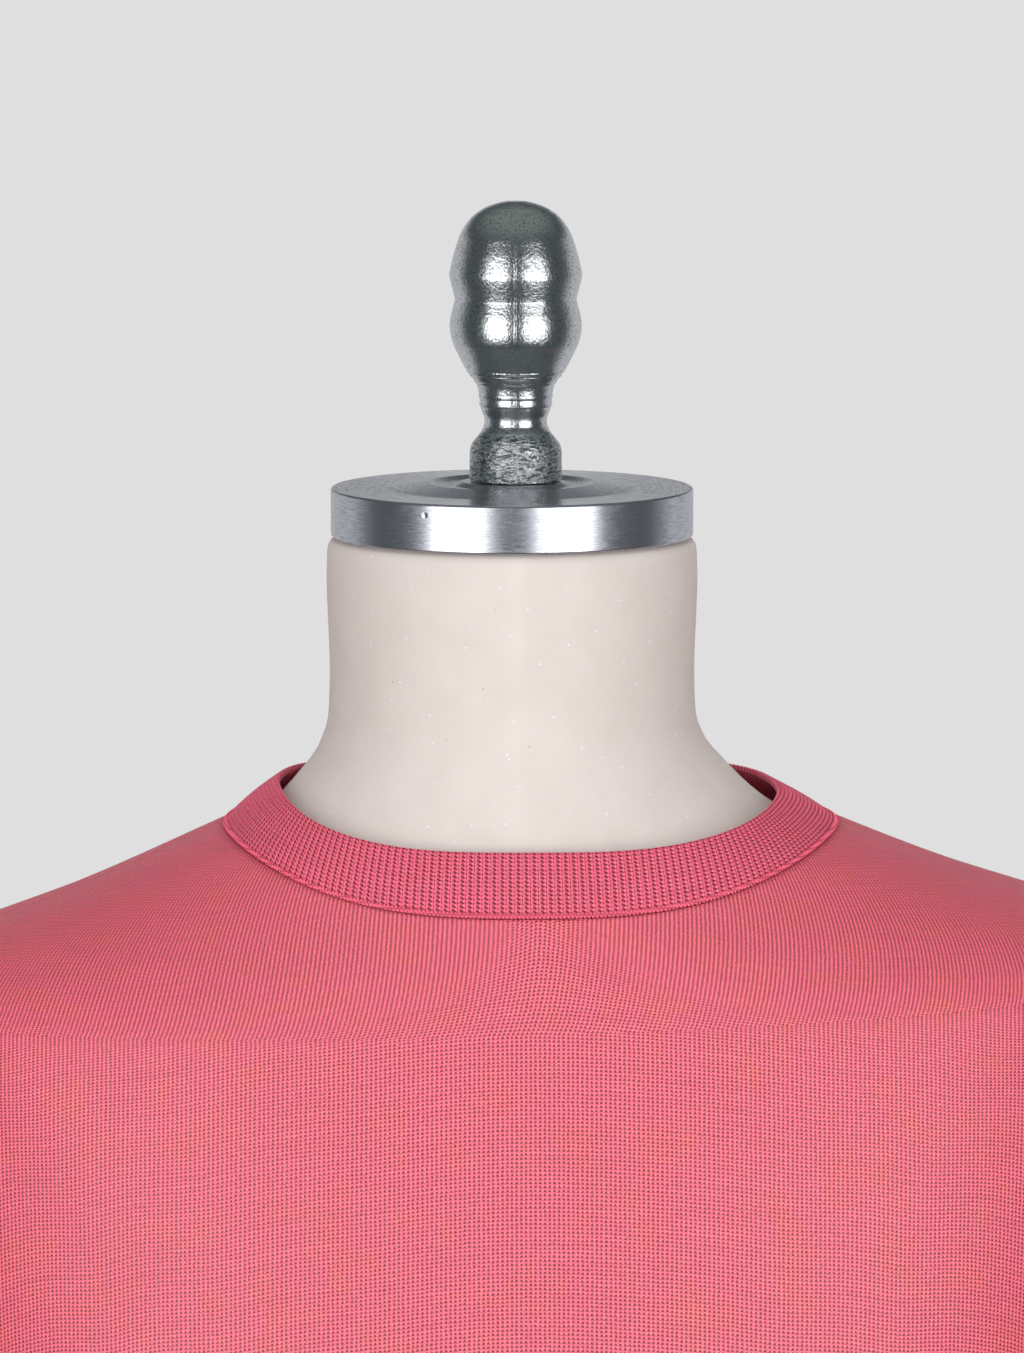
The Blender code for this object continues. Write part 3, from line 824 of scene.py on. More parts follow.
def section_points(curves: dict[str, TableCurve], angle: Array, height: Array, lift: Array) -> Array:
    """Points of horizontal sections.

    Args:
        curves: half_width, front, back and squareness by height.
        angle: 0 on the +X side, a quarter turn at the front.
        height: from the shoulder point.
        lift: distance that a point stands out from the plain section.

    Returns:
        The points, one more axis than the angles have.
    """
    side, depthwise = np.cos(angle), np.sin(angle)
    power = 2 / curves["squareness"](height)
    depth = np.where(depthwise > 0, curves["front"](height), curves["back"](height))
    x = (curves["half_width"](height) + lift) * rounded_power(side, power)
    y = -(depth + lift) * rounded_power(depthwise, power)
    return np.stack([x, y, height + 0 * x], axis=-1)


# ---------------------------------------------------------------- cloth
def cut_of(points: Array) -> Array:
    """Flat cut of a cloth grid: distance along each row from the middle column, and up each column.

    Args:
        points: rows by columns by 3.

    Returns:
        Rows by columns by 2, in metres.
    """
    across = walked(points, axis=1)
    return np.stack([across - across[:, [points.shape[1] // 2]], walked(points)], axis=-1)


def crease_lift(creases: Sequence[Crease], cut: Array) -> Array:
    """How far a panel's creases stand out, over its cut."""
    total = np.zeros(cut.shape[:-1])
    for crease in creases:
        turn = math.radians(crease.turn)
        across, up = cut[..., 0] - crease.across, cut[..., 1] - crease.up
        along = (across * math.cos(turn) + up * math.sin(turn)) / crease.length
        beside = up * math.cos(turn) - across * math.sin(turn) - crease.bow * along ** 2
        total += crease.lift * np.exp(-along ** 4) * np.exp(-(beside / crease.width) ** 2)
    return total


def cloth_grid(points: Array, cut: Array) -> bmesh.types.BMesh:
    """Mesh of a cloth grid with its cut as UV map.

    Args:
        points: rows by columns by 3, in place.
        cut: the same grid flat, in metres.

    Returns:
        The open mesh, its first and last columns merged where they meet.
    """
    rows, columns = points.shape[0] - 1, points.shape[1] - 1
    bm = bmesh.new()
    uv_layer = bm.loops.layers.uv.new(CUT)
    bmesh.ops.create_grid(bm, x_segments=columns, y_segments=rows, size=0.5)
    for vert in bm.verts:
        spot = round((vert.co.y + 0.5) * rows), round((vert.co.x + 0.5) * columns)
        vert.co = points[spot]
        for loop in vert.link_loops:
            loop[uv_layer].uv = cut[spot]
    bmesh.ops.remove_doubles(bm, verts=bm.verts[:], dist=MERGE)
    return bm


class KnittedPanel:
    """Base of the pieces that are knitted to shape: an open sheet with its cloth's thickness."""

    node: str
    inside: tuple[float, float, float]     # point that the sheet goes round
    flat: tuple[float, float]
    area: float
    thickness: float = 0.0018

    def grid(self) -> tuple[Array, Array]:
        """The piece's points in place, and its cut."""
        raise NotImplementedError

    def build(self, material: bpy.types.Material) -> None:
        """Makes the piece, with its wall inward from its outer skin and its cut as its UV map."""
        bm = cloth_grid(*self.grid())
        middle = Vector(self.inside)
        if sum(face.normal.dot(face.calc_center_median() - middle) for face in bm.faces) < 0:
            bmesh.ops.reverse_faces(bm, faces=bm.faces[:])
        piece = finished_piece(f"knit_{self.node}", bm, material, self.node)
        wall = piece.modifiers.new("Cloth", "SOLIDIFY")
        wall.thickness = self.thickness
        wall.offset = -1.0
        wall.use_even_offset = False


class PanelRows(NamedTuple):
    """Rows of a body panel's grid between its hem, underarm, shoulder tip and neckline."""

    hem: int = 11
    armhole: int = 10
    shoulder: int = 5
    finer: int = 7      # each is divided by this


@dataclass
class BodyPanel(KnittedPanel):
    """Front or back panel: one knitted piece from its ribbed hem to the shoulder and neckline."""

    torso: Torso
    facing: Facing
    creases: tuple[Crease, ...]
    columns: int = 168
    rows: PanelRows = PanelRows()
    seam_gap: float = 0.00032
    calm_edge: float = 0.05                            # share of the width beside a seam without creases
    calm_hem: float = 0.8                              # rows without creases over the hem
    calm_neck: tuple[float, float] = (24.5, 26.0)      # and under the neckline
    inside: tuple[float, float, float] = (0.0, 0.0, 0.6)
    flat: tuple[float, float] = (0.53, 0.70)
    area: float = 0.330

    def __post_init__(self) -> None:
        """Names the CAD node that the panel stands for."""
        self.node = self.facing.name.lower()

    def surface(self, across: Array, level: Array) -> Array:
        """Points of the outer skin before the lean.

        Args:
            across: 0 at the +X edge, 1 at the -X edge.
            level: rows of the coarse grid above the hem.

        Returns:
            The points.
        """
        torso, facing, rows = self.torso, self.facing.value, self.rows
        shoulder_row = rows.hem + rows.armhole
        turn = math.pi * (1 - np.clip((level - rows.hem) / rows.armhole, 0.0, 1.0))
        in_armhole = (level >= rows.hem) & (level <= shoulder_row)
        edge = np.where(in_armhole, np.abs(torso.armhole_angle(facing * turn)), 0.0)
        angle = facing * (edge + (math.pi - 2 * edge) * across)
        height = torso.hem + (torso.underarm - torso.hem) * level / rows.hem
        height = np.where(in_armhole, torso.armhole_middle + torso.armhole_rise * np.cos(turn), height)
        share = np.clip((level - shoulder_row) / rows.shoulder, 0.0, 1.0)
        neck_angle, neck_height = torso.neckline(angle)
        on_shoulder = level > shoulder_row
        angle = np.where(on_shoulder, angle + (neck_angle - angle) * share, angle)
        to_neck = torso.shoulder_tip + (neck_height - torso.shoulder_tip) * share
        height = np.where(on_shoulder, to_neck, height)
        return torso.point(angle, height) + np.array([0.0, -facing * self.seam_gap / 2, 0.0])

    def grid(self) -> tuple[Array, Array]:
        """The panel's points in place, with its creases, and its cut."""
        coarse = sum(self.rows[:3])
        level = np.linspace(0.0, coarse, coarse * self.rows.finer + 1)[:, None]
        across, level = np.broadcast_arrays(np.linspace(0.0, 1.0, self.columns + 1)[None, :], level)
        points = self.surface(across, level)
        cut = cut_of(points)
        normals = unit(np.cross(np.gradient(points, axis=1), np.gradient(points, axis=0)))
        calm = eased(0.0, self.calm_edge, np.minimum(across, 1 - across))
        calm = calm * eased(0.0, self.calm_hem, level) * (1 - eased(*self.calm_neck, level))
        lift = -self.facing.value * crease_lift(self.creases, cut) * calm
        return self.torso.placed(points + normals * lift[..., None]), cut


class Ring(NamedTuple):
    """Ring of the sleeve: its top and underside edges, and how deep and how far forward it is."""

    place: float
    top_x: float
    top_z: float
    under_x: float
    under_z: float
    half_depth: float
    forward: float


class SleeveFold(NamedTuple):
    """Crease across the sleeve: degrees from its top by the front, share of its length, and size."""

    angle: float
    along: float
    spread: float
    length: float
    lift: float
    slant: float


@dataclass
class Sleeve(KnittedPanel):
    """One sleeve with its ribbed cuff, closed to a tube by its underarm seam."""

    torso: Torso
    side: int                  # 1 on +X, the wearer's left, and -1 on -X
    columns: int = 150
    rows: int = 200
    squareness: float = 2.2
    seam_fade: float = 0.28    # share of the sleeve over which the armhole's own curve fades out
    fold_fade: tuple[float, float] = (0.0, 0.1)
    small_fold_fade: tuple[float, float] = (0.02, 0.1)
    ring_gap: float = 0.00042
    flat: tuple[float, float] = (0.40, 0.62)
    area: float = 0.190

    rings: tuple[Ring, ...] = table(
        Ring,
        (0, 0.2150, -0.051, 0.1930, -0.262, 0.078, 0.000),
        (1, 0.2345, -0.064, 0.1965, -0.267, 0.081, 0.000),
        (2, 0.2460, -0.097, 0.1995, -0.275, 0.085, 0.001),
        (3, 0.2520, -0.150, 0.2020, -0.288, 0.088, 0.003),
        (4, 0.2550, -0.215, 0.2040, -0.308, 0.090, 0.006),
        (5, 0.2560, -0.285, 0.2050, -0.340, 0.088, 0.009),
        (6, 0.2560, -0.360, 0.2055, -0.388, 0.083, 0.013),
        (7, 0.2555, -0.440, 0.2065, -0.452, 0.075, 0.017),
        (8, 0.2545, -0.520, 0.2080, -0.527, 0.066, 0.021),
        (9, 0.2530, -0.600, 0.2100, -0.604, 0.056, 0.025),
        (10, 0.2510, -0.668, 0.2120, -0.670, 0.049, 0.028),
    )
    folds: tuple[SleeveFold, ...] = table(
        SleeveFold,
        (70, 0.17, 42, 0.022, 0.0060, 0.030),
        (300, 0.21, 40, 0.024, 0.0065, -0.030),
        (95, 0.37, 50, 0.024, 0.0060, 0.040),
        (215, 0.43, 46, 0.026, 0.0050, 0.030),
        (30, 0.53, 60, 0.026, 0.0055, -0.045),
        (110, 0.62, 48, 0.022, 0.0060, 0.035),
        (260, 0.67, 52, 0.026, 0.0060, -0.040),
        (140, 0.80, 60, 0.020, 0.0045, 0.025),
    )
    small_folds: tuple[SleeveFold, ...] = table(
        SleeveFold,
        (40, 0.10, 30, 0.012, 0.0018, 0.030),
        (330, 0.13, 28, 0.012, 0.0016, -0.030),
        (120, 0.27, 30, 0.011, -0.0016, 0.035),
        (250, 0.32, 34, 0.012, 0.0018, -0.020),
        (160, 0.47, 30, 0.010, 0.0014, 0.028),
        (70, 0.49, 34, 0.011, -0.0017, 0.035),
        (320, 0.59, 30, 0.010, 0.0016, -0.030),
        (60, 0.71, 36, 0.010, 0.0017, 0.025),
        (200, 0.75, 40, 0.011, -0.0013, 0.020),
        (290, 0.84, 44, 0.009, 0.0014, -0.020),
        (20, 0.88, 40, 0.009, 0.0012, 0.015),
    )

    def __post_init__(self) -> None:
        """Prepares the curves through the rings, and names the CAD node that the sleeve stands for."""
        self.curves = table_curves(self.rings)
        self.node = "sleeve_left" if self.side > 0 else "sleeve_right"
        self.inside = (self.side * 0.23, -0.01, 0.55)

    def fold_lift(self, turn: Array, along: Array, folds: Sequence[SleeveFold]) -> Array:
        """How far creases across the sleeve stand out."""
        total = np.zeros(np.broadcast(turn, along).shape)
        for fold in folds:
            turned = degrees_off(turn, fold.angle) / fold.spread
            beside = (along - fold.along - fold.slant * turned) / fold.length
            total += fold.lift * np.exp(-turned ** 2) * np.exp(-beside ** 2)
        return total

    def tube(self, turn: Array, along: Array) -> Array:
        """Points of the +X sleeve without its creases; turn 0 is its top edge."""
        read = {name: curve(along * self.rings[-1].place) for name, curve in self.curves.items()}
        power = 2 / self.squareness
        topwise = rounded_power(np.cos(turn), power)
        x = (read["top_x"] + read["under_x"] + (read["top_x"] - read["under_x"]) * topwise) / 2
        z = (read["top_z"] + read["under_z"] + (read["top_z"] - read["under_z"]) * topwise) / 2
        y = -read["forward"] - read["half_depth"] * rounded_power(np.sin(turn), power)
        return np.stack([x, y, z], axis=-1)

    def point(self, turn: Array, along: Array) -> Array:
        """Points of the +X sleeve, which begins on the armhole's own curve."""
        to_armhole = self.torso.armhole_point(turn) - self.tube(turn, 0.0 * along)
        fade = (1 - eased(0.0, self.seam_fade, along)) ** 2
        return self.tube(turn, along) + to_armhole * fade[..., None]

    def grid(self) -> tuple[Array, Array]:
        """The sleeve's points in place, with all creases, and its cut; rows run down from the armhole."""
        along = np.linspace(0.0, 1.0, self.rows + 1)[:, None]
        turn, along = np.broadcast_arrays(np.linspace(-math.pi, math.pi, self.columns + 1)[None, :], along)
        points = self.point(turn, along)
        cut = cut_of(points)
        cut[..., 1] = cut[-1:, :, 1] - cut[..., 1]
        lift = self.fold_lift(turn, along, self.folds) * eased(*self.fold_fade, along)
        lift += self.fold_lift(turn, along, self.small_folds) * eased(*self.small_fold_fade, along)
        points = points - surface_normals(self.point, turn, along) * lift[..., None]
        points = (points + np.array([self.ring_gap, 0.0, 0.0])) * np.array([self.side, 1.0, 1.0])
        return self.torso.placed(points), cut


@dataclass
class Collar:
    """Ribbed collar: a doubled strip of rib round the neckline, linked on by a row of stitches."""

    torso: Torso
    band: float = 0.0222           # width from its seam to its free edge
    bow: float = 0.0008
    thickness: float = 0.0020
    ring_gap: float = 0.00042
    rise_right: float = math.radians(30)
    rise_left: float = math.radians(38)
    rise_front: float = math.radians(60)
    rise_back: float = math.radians(66)
    rib_pitch: float = 0.00255
    rib_relief: float = 0.00024
    rib_level: float = 0.6         # share of the relief that lies under the plain skin
    rib_fade: tuple[float, float] = (-0.02, 0.06)
    columns_a_rib: int = 6
    skin_rows: int = 9
    rim_rows: int = 5
    link_pitch: float = 0.001275   # from one V of the linking row to the next
    link_span: tuple[float, float] = (-0.010, 0.060)     # shares of the band that its legs reach over
    leg_length: float = 0.00220
    leg_width: float = 0.00056
    leg_lift: float = 0.0003
    leg_turn: float = math.radians(26)
    leg_shade: float = 0.0004      # where on a rib's middle the legs take their colour from

    def skin(self, turn: Array, share: Array, depth: Array) -> tuple[Array, Array]:
        """Points of the collar at a share of its width and a depth under its outer skin.

        Args:
            turn: round the neckline, 0 on the +X ridge.
            share: 0 at the seam, 1 at the free edge.
            depth: below the outer skin, in metres.

        Returns:
            The points and the outward directions, before the lean.
        """
        torso = self.torso
        angle, height = torso.neckline(turn)
        outward = surface_normals(torso.point, angle, height)
        inward = unit(outward * np.array([-1.0, -1.0, 0.0]))
        middle_rise = np.where(np.sin(turn) > 0, self.rise_front, self.rise_back)
        side_rise = (self.rise_right + self.rise_left) / 2
        side_rise = side_rise + (self.rise_right - self.rise_left) / 2 * np.cos(turn)
        rise = (side_rise + (middle_rise - side_rise) * np.sin(turn) ** 2)[..., None]
        upward = np.array([0.0, 0.0, 1.0])
        band = inward * np.cos(rise) + upward * np.sin(rise)
        bow_way = upward * np.cos(rise) - inward * np.sin(rise)
        share = np.asarray(share)[..., None]
        bow = bow_way * self.bow * np.sin(math.pi * share)
        point = torso.point(angle, height) + band * (self.ring_gap + self.band * share) + bow
        normal = unit(outward + (bow_way - outward) * eased(0.0, 1.0, share))
        return point - normal * np.asarray(depth)[..., None], normal

    def even_turns(self, count: int) -> tuple[Array, float]:
        """Turns at even steps along the seam, from the middle of the back, and the seam's length."""
        fine = np.linspace(-math.pi / 2, math.pi * 1.5, 2001)
        wrapped = (fine + math.pi) % math.tau - math.pi
        reached = walked(self.torso.point(*self.torso.neckline(wrapped)))
        turns = np.interp(np.linspace(0.0, reached[-1], count + 1), reached, fine)
        return (turns + math.pi) % math.tau - math.pi, float(reached[-1])

    def outline(self) -> tuple[Array, Array, Array]:
        """The collar's cross-section: shares and depths round it, and how much of the ribs each has."""
        half = self.thickness / 2
        rim = half / self.band
        up = np.linspace(0.0, 1.0 - rim, self.skin_rows)
        round_it = np.linspace(0.0, math.pi, self.rim_rows + 2)[1:-1]
        down, foot = up[::-1], np.array([0.0])
        share = np.concatenate([up, 1.0 - rim + rim * np.sin(round_it), down, foot])
        depth = np.concatenate([0 * up, half * (1 - np.cos(round_it)), 0 * down + self.thickness, foot])
        fade = partial(eased, *self.rib_fade)
        return share, depth, np.concatenate([fade(up), np.ones(len(round_it)), fade(down), fade(foot)])

    def build(self, material: bpy.types.Material) -> None:
        ribs = round(self.even_turns(1)[1] / self.rib_pitch)
        columns = ribs * self.columns_a_rib
        turns, length = self.even_turns(columns)
        share, depth, relief = self.outline()
        turn, share_grid = np.broadcast_arrays(turns[None, :], share[:, None])
        points, normal = self.skin(turn, share_grid, np.broadcast_to(depth[:, None], turn.shape))
        column = np.arange(columns + 1)
        raised = 0.5 - 0.5 * np.cos(math.tau * column / self.columns_a_rib)
        outer_side = np.cos(math.pi * depth / self.thickness)
        lift = (raised[None, :] - self.rib_level) * self.rib_relief * (relief * outer_side)[:, None]
        points = points + normal * lift[..., None]
        cut = np.stack(np.broadcast_arrays(
            (column * self.rib_pitch / self.columns_a_rib)[None, :], walked(points[:, columns // 2])[:, None]
        ), axis=-1)
        bm = cloth_grid(self.torso.placed(points), cut)
        bmesh.ops.recalc_face_normals(bm, faces=bm.faces[:])
        piece = finished_piece("rib_collar", bm, material, "collar")
        self.linking_row(material)

    def linking_row(self, material: bpy.types.Material) -> bpy.types.Object:
        """The row of V stitches that links the collar to the panels, along the seam.

        Args:
            material: the collar's finish.

        Returns:
            The piece.
        """
        count = round(self.even_turns(1)[1] / self.link_pitch)
        turns = self.even_turns(2 * count)[0][:-1]
        (foot, out_low), (top, out_high) = (
            self.skin(turns, 0.0 * turns + share, 0.0 * turns) for share in self.link_span
        )
        middle = self.torso.placed((foot + top) / 2)
        upward = unit(self.torso.placed(top) - self.torso.placed(foot))
        along = unit(np.roll(middle, -1, axis=0) - np.roll(middle, 1, axis=0))
        out = unit(out_low + out_high)
        bm = bmesh.new()
        uv_layer = bm.loops.layers.uv.new(CUT)
        for number in range(2 * count):
            lean = self.leg_turn if number % 2 else -self.leg_turn
            stroke = upward[number] * math.cos(lean) + along[number] * math.sin(lean)
            axes = np.stack([
                stroke * self.leg_length / 2, np.cross(out[number], stroke) * self.leg_width / 2,
                out[number] * self.leg_width / 2, middle[number] + out[number] * self.leg_lift,
            ], axis=1)
            basis = Matrix([*axes.tolist(), [0.0, 0.0, 0.0, 1.0]])
            turned = basis @ Matrix.Rotation(math.pi / 2, 4, "Y")
            bmesh.ops.create_uvsphere(bm, u_segments=6, v_segments=4, radius=1.0, matrix=turned)
        for face in bm.faces:
            for loop in face.loops:
                loop[uv_layer].uv = (self.rib_pitch / 2 + self.leg_shade, loop.vert.co.z)
        bmesh.ops.recalc_face_normals(bm, faces=bm.faces[:])
        return finished_piece("collar_linking_row", bm, material)


# ---------------------------------------------------------------- the form and its metal
class Turning(NamedTuple):
    """Point of a turned profile."""

    height: float
    radius: float


def turned_mesh(profile: Sequence[Turning], steps: int, foot: Vector) -> bmesh.types.BMesh:
    """Lathe-turned mesh.

    Args:
        profile: points from the axis at its top to the axis at its foot.
        steps: faces round the axis.
        foot: where the profile's own zero stands.

    Returns:
        The mesh, closed at both poles.
    """
    bm = bmesh.new()
    verts = [bm.verts.new((row.radius, 0.0, row.height)) for row in profile]
    edges = [bm.edges.new(pair) for pair in zip(verts, verts[1:])]
    bmesh.ops.spin(
        bm, geom=verts + edges, cent=(0, 0, 0), axis=(0, 0, 1), angle=math.tau, steps=steps,
        use_merge=True, use_duplicate=False,
    )
    bmesh.ops.remove_doubles(bm, verts=bm.verts[:], dist=1e-6)
    bmesh.ops.translate(bm, verts=bm.verts[:], vec=foot)
    bmesh.ops.recalc_face_normals(bm, faces=bm.faces[:])
    return bm


def smooth_profile(rows: Sequence[Turning], parts: int) -> list[Turning]:
    """A profile with soft bends: each stretch divided, along a curve through its points.

    Args:
        rows: the profile's own points.
        parts: divisions of each stretch.

    Returns:
        The finer profile.
    """
    points = np.array(rows)
    pull = unit((np.concatenate([points[1:], points[-1:]]) - np.concatenate([points[:1], points[:-1]])) / 2)
    part = np.linspace(0.0, 1.0, parts + 1)[1:, None]
    fine = [points[0]]
    for at in range(len(points) - 1):
        low, high = points[at], points[at + 1]
        reach = np.linalg.norm(high - low)
        fine.extend(curve_point(low, high, pull[at] * reach, pull[at + 1] * reach, part))
    return [Turning(float(height), max(float(radius), 0.0)) for height, radius in fine]


class Corner(NamedTuple):
    """Point of a profile with its fillet."""

    height: float
    radius: float
    fillet: float = 0.0


FLAT_BESIDE = 1.6      # fillets: the profile is held flat from this far off a corner


def filleted(*corners: tuple, parts: int = 4) -> list[Turning]:
    """A profile with each corner rounded, and held flat beside it.

    Args:
        *corners: height, radius and fillet, from the axis at the top to the axis at the foot.
        parts: divisions of each fillet.

    Returns:
        The profile's points.
    """
    corners = table(Corner, *corners)
    spots = np.array([corner[:2] for corner in corners])
    profile = [spots[0]]
    for at in range(1, len(corners) - 1):
        fillet, spot = corners[at].fillet, spots[at]
        back, ahead = unit(spots[at - 1] - spot) * fillet, unit(spots[at + 1] - spot) * fillet
        part = np.linspace(0.0, 1.0, parts + 1)[:, None]
        rounding = (spot + back) * (1 - part) ** 2 + 2 * spot * part * (1 - part) + (spot + ahead) * part ** 2
        profile += [spot + back * FLAT_BESIDE, *rounding, spot + ahead * FLAT_BESIDE]
    profile.append(spots[-1])
    return [Turning(float(height), float(radius)) for height, radius in profile]


@dataclass
class DisplayForm:
    """The limbless form with its turned cap and finial, on a pole and a round base."""

    torso: Torso
    columns: int = 160
    rows: int = 200
    even_rows: float = 0.35        # share of the rows' spacing that is even; the rest is closer at the ends
    neck_top: float = 0.0934
    foot: float = -0.720
    seat_gap: float = 0.0003
    finial_offset: float = 0.0012
    finial_parts: int = 8
    finial_steps: int = 128
    cap_steps: int = 192
    pole_radius: float = 0.016
    pole_foot: float = 0.0123
    pole_head: float = 0.1597
    pole_steps: int = 96
    base_radius: float = 0.160
    base_thickness: float = 0.012
    base_steps: int = 192
    edge_fillet: float = 0.0006
    base_fillet: float = 0.0015

    sections: tuple[Section, ...] = table(
        Section,
        (0.0934, 0.0560, 0.0560, 0.0560, 2.00),
        (0.0922, 0.0583, 0.0583, 0.0583, 2.00),
        (0.0895, 0.0596, 0.0596, 0.0596, 2.00),
        (0.080, 0.0599, 0.0599, 0.0599, 2.00),
        (0.050, 0.0590, 0.0590, 0.0590, 2.00),
        (0.036, 0.0595, 0.0595, 0.0592, 2.00),
        (0.026, 0.0628, 0.0610, 0.0600, 2.00),
        (0.018, 0.0690, 0.0635, 0.0615, 2.00),
        (0.010, 0.0765, 0.0665, 0.0640, 2.00),
        (0.002, 0.0865, 0.0700, 0.0680, 2.05),
        (-0.006, 0.1035, 0.0745, 0.0735, 2.10),
        (-0.019, 0.1375, 0.0825, 0.0840, 2.15),
        (-0.035, 0.1825, 0.0918, 0.0965, 2.20),
        (-0.046, 0.2060, 0.0965, 0.1020, 2.25),
        (-0.056, 0.2110, 0.1000, 0.1050, 2.30),
        (-0.100, 0.2050, 0.1135, 0.1140, 2.35),
        (-0.160, 0.1930, 0.1240, 0.1180, 2.40),
        (-0.262, 0.1770, 0.1255, 0.1140, 2.40),
        (-0.400, 0.1600, 0.1080, 0.0960, 2.35),
        (-0.540, 0.1700, 0.1080, 0.1050, 2.35),
        (-0.660, 0.1720, 0.1050, 0.1070, 2.35),
        (-0.712, 0.1700, 0.1030, 0.1050, 2.35),
        (-0.720, 0.1640, 0.0965, 0.0985, 2.35),
    )
    cap: tuple[Corner, ...] = table(
        Corner,
        (0.0173, 0.0000), (0.0173, 0.0162, 0.0005), (0.0161, 0.0188, 0.0008),
        (0.0160, 0.0220, 0.0008), (0.0172, 0.0266, 0.0010), (0.0153, 0.0405, 0.0008),
        (0.0153, 0.0585, 0.0009), (0.0000, 0.0585, 0.0007), (0.0000, 0.0000),
    )
    finial: tuple[Turning, ...] = table(
        Turning,
        (0.0899, 0.00000), (0.0898, 0.00300), (0.0894, 0.00510), (0.0888, 0.00721), (0.0882, 0.00885),
        (0.0876, 0.01016), (0.0869, 0.01125), (0.0857, 0.01302), (0.0838, 0.01497), (0.0812, 0.01680),
        (0.0787, 0.01806), (0.0761, 0.01894), (0.0745, 0.01945), (0.0728, 0.01995), (0.0697, 0.02072),
        (0.0678, 0.02112), (0.0664, 0.02134), (0.0657, 0.02132), (0.0633, 0.02076), (0.0586, 0.01958),
        (0.0582, 0.01960), (0.0568, 0.01994), (0.0555, 0.02027), (0.0543, 0.02059), (0.0530, 0.02088),
        (0.0517, 0.02112), (0.0504, 0.02124), (0.0491, 0.02121), (0.0478, 0.02106), (0.0465, 0.02083),
        (0.0453, 0.02055), (0.0440, 0.02013), (0.0427, 0.01955), (0.0414, 0.01893), (0.0401, 0.01830),
        (0.0388, 0.01766), (0.0375, 0.01700), (0.0362, 0.01625), (0.0349, 0.01540), (0.0336, 0.01448),
        (0.0324, 0.01355), (0.0314, 0.01280), (0.0302, 0.01236), (0.0285, 0.01200), (0.0268, 0.01170),
        (0.0246, 0.01156), (0.0233, 0.01130), (0.0220, 0.01082), (0.0207, 0.01030), (0.0194, 0.01008),
        (0.0181, 0.01018), (0.0169, 0.01060), (0.0156, 0.01128), (0.0143, 0.01221), (0.0130, 0.01330),
        (0.0117, 0.01420), (0.0104, 0.01466), (0.0091, 0.01484), (0.0052, 0.01490), (0.0004, 0.01490),
    )
    finial_foot: tuple[Turning, ...] = table(Turning, (0.0, 0.0146), (0.0, 0.0))
    beads: tuple[float, ...] = (0.0352, 0.0338, 0.0317, 0.0272, 0.0246)
    bead_relief: float = 0.00026
    bead_width: float = 0.00034

    def build_body(self, material: bpy.types.Material) -> None:
        """Makes the canvas-covered form, closed at its neck and foot."""
        share = np.linspace(0.0, 1.0, self.rows + 1)
        close = 0.5 - 0.5 * np.cos(math.pi * share)
        climbed = self.even_rows * share + (1 - self.even_rows) * close
        height = (self.foot + (self.neck_top - self.foot) * climbed)[:, None]
        angle = np.linspace(-math.pi, math.pi, self.columns + 1)[None, :]
        angle, height = np.broadcast_arrays(angle, height)
        points = self.torso.placed(section_points(table_curves(self.sections), angle, height, 0 * height))
        bm = cloth_grid(points, cut_of(points))
        ends = [edge for edge in bm.edges if edge.is_boundary]
        for edge in ends:
            edge.smooth = False
        bmesh.ops.holes_fill(bm, edges=ends, sides=0)
        bmesh.ops.recalc_face_normals(bm, faces=bm.faces[:])
        finished_piece("canvas_form", bm, material, "form_body")

    def build_cap(self, material: bpy.types.Material) -> None:
        """Makes the cap that the neck ends in: a flat land, and a raised ring round the finial's seat."""
        foot = Vector((0.0, 0.0, SHOULDER_POINT + self.neck_top + self.seat_gap))
        bm = turned_mesh(filleted(*self.cap), self.cap_steps, foot)
        finished_piece("cap_turned", bm, material, "neck_cap")

    def build_finial(self, material: bpy.types.Material) -> None:
        """Makes the finial, which screws into the cap's seat."""
        seat = SHOULDER_POINT + self.neck_top + 2 * self.seat_gap + self.cap[0].height
        profile = [self.beaded(spot) for spot in smooth_profile(self.finial, self.finial_parts)]
        foot = Vector((self.finial_offset, 0.0, seat))
        bm = turned_mesh([*profile, *self.finial_foot], self.finial_steps, foot)
        finished_piece("finial_polished", bm, material, "finial")

    def beaded(self, spot: Turning) -> Turning:
        """A point of the finial's profile with the fine rings turned below its swell."""
        raised = sum(math.exp(-((spot.height - bead) / self.bead_width) ** 2) for bead in self.beads)
        return Turning(spot.height, spot.radius + self.bead_relief * raised)

    def build_stand(self, material: bpy.types.Material) -> None:
        """Makes the pole and the base plate."""
        for name, node, foot, tall, radius, top_fillet, steps in (
            ("stand_pole", "pole", self.pole_foot, self.pole_head - self.pole_foot, self.pole_radius,
             self.edge_fillet, self.pole_steps),
            ("stand_base", "base_plate", 0.0, self.base_thickness, self.base_radius,
             self.base_fillet, self.base_steps),
        ):
            profile = filleted(
                (tall, 0.0), (tall, radius, top_fillet), (0.0, radius, self.edge_fillet), (0.0, 0.0)
            )
            bm = turned_mesh(profile, steps, Vector((0.0, 0.0, foot)))
            finished_piece(name, bm, material, node)
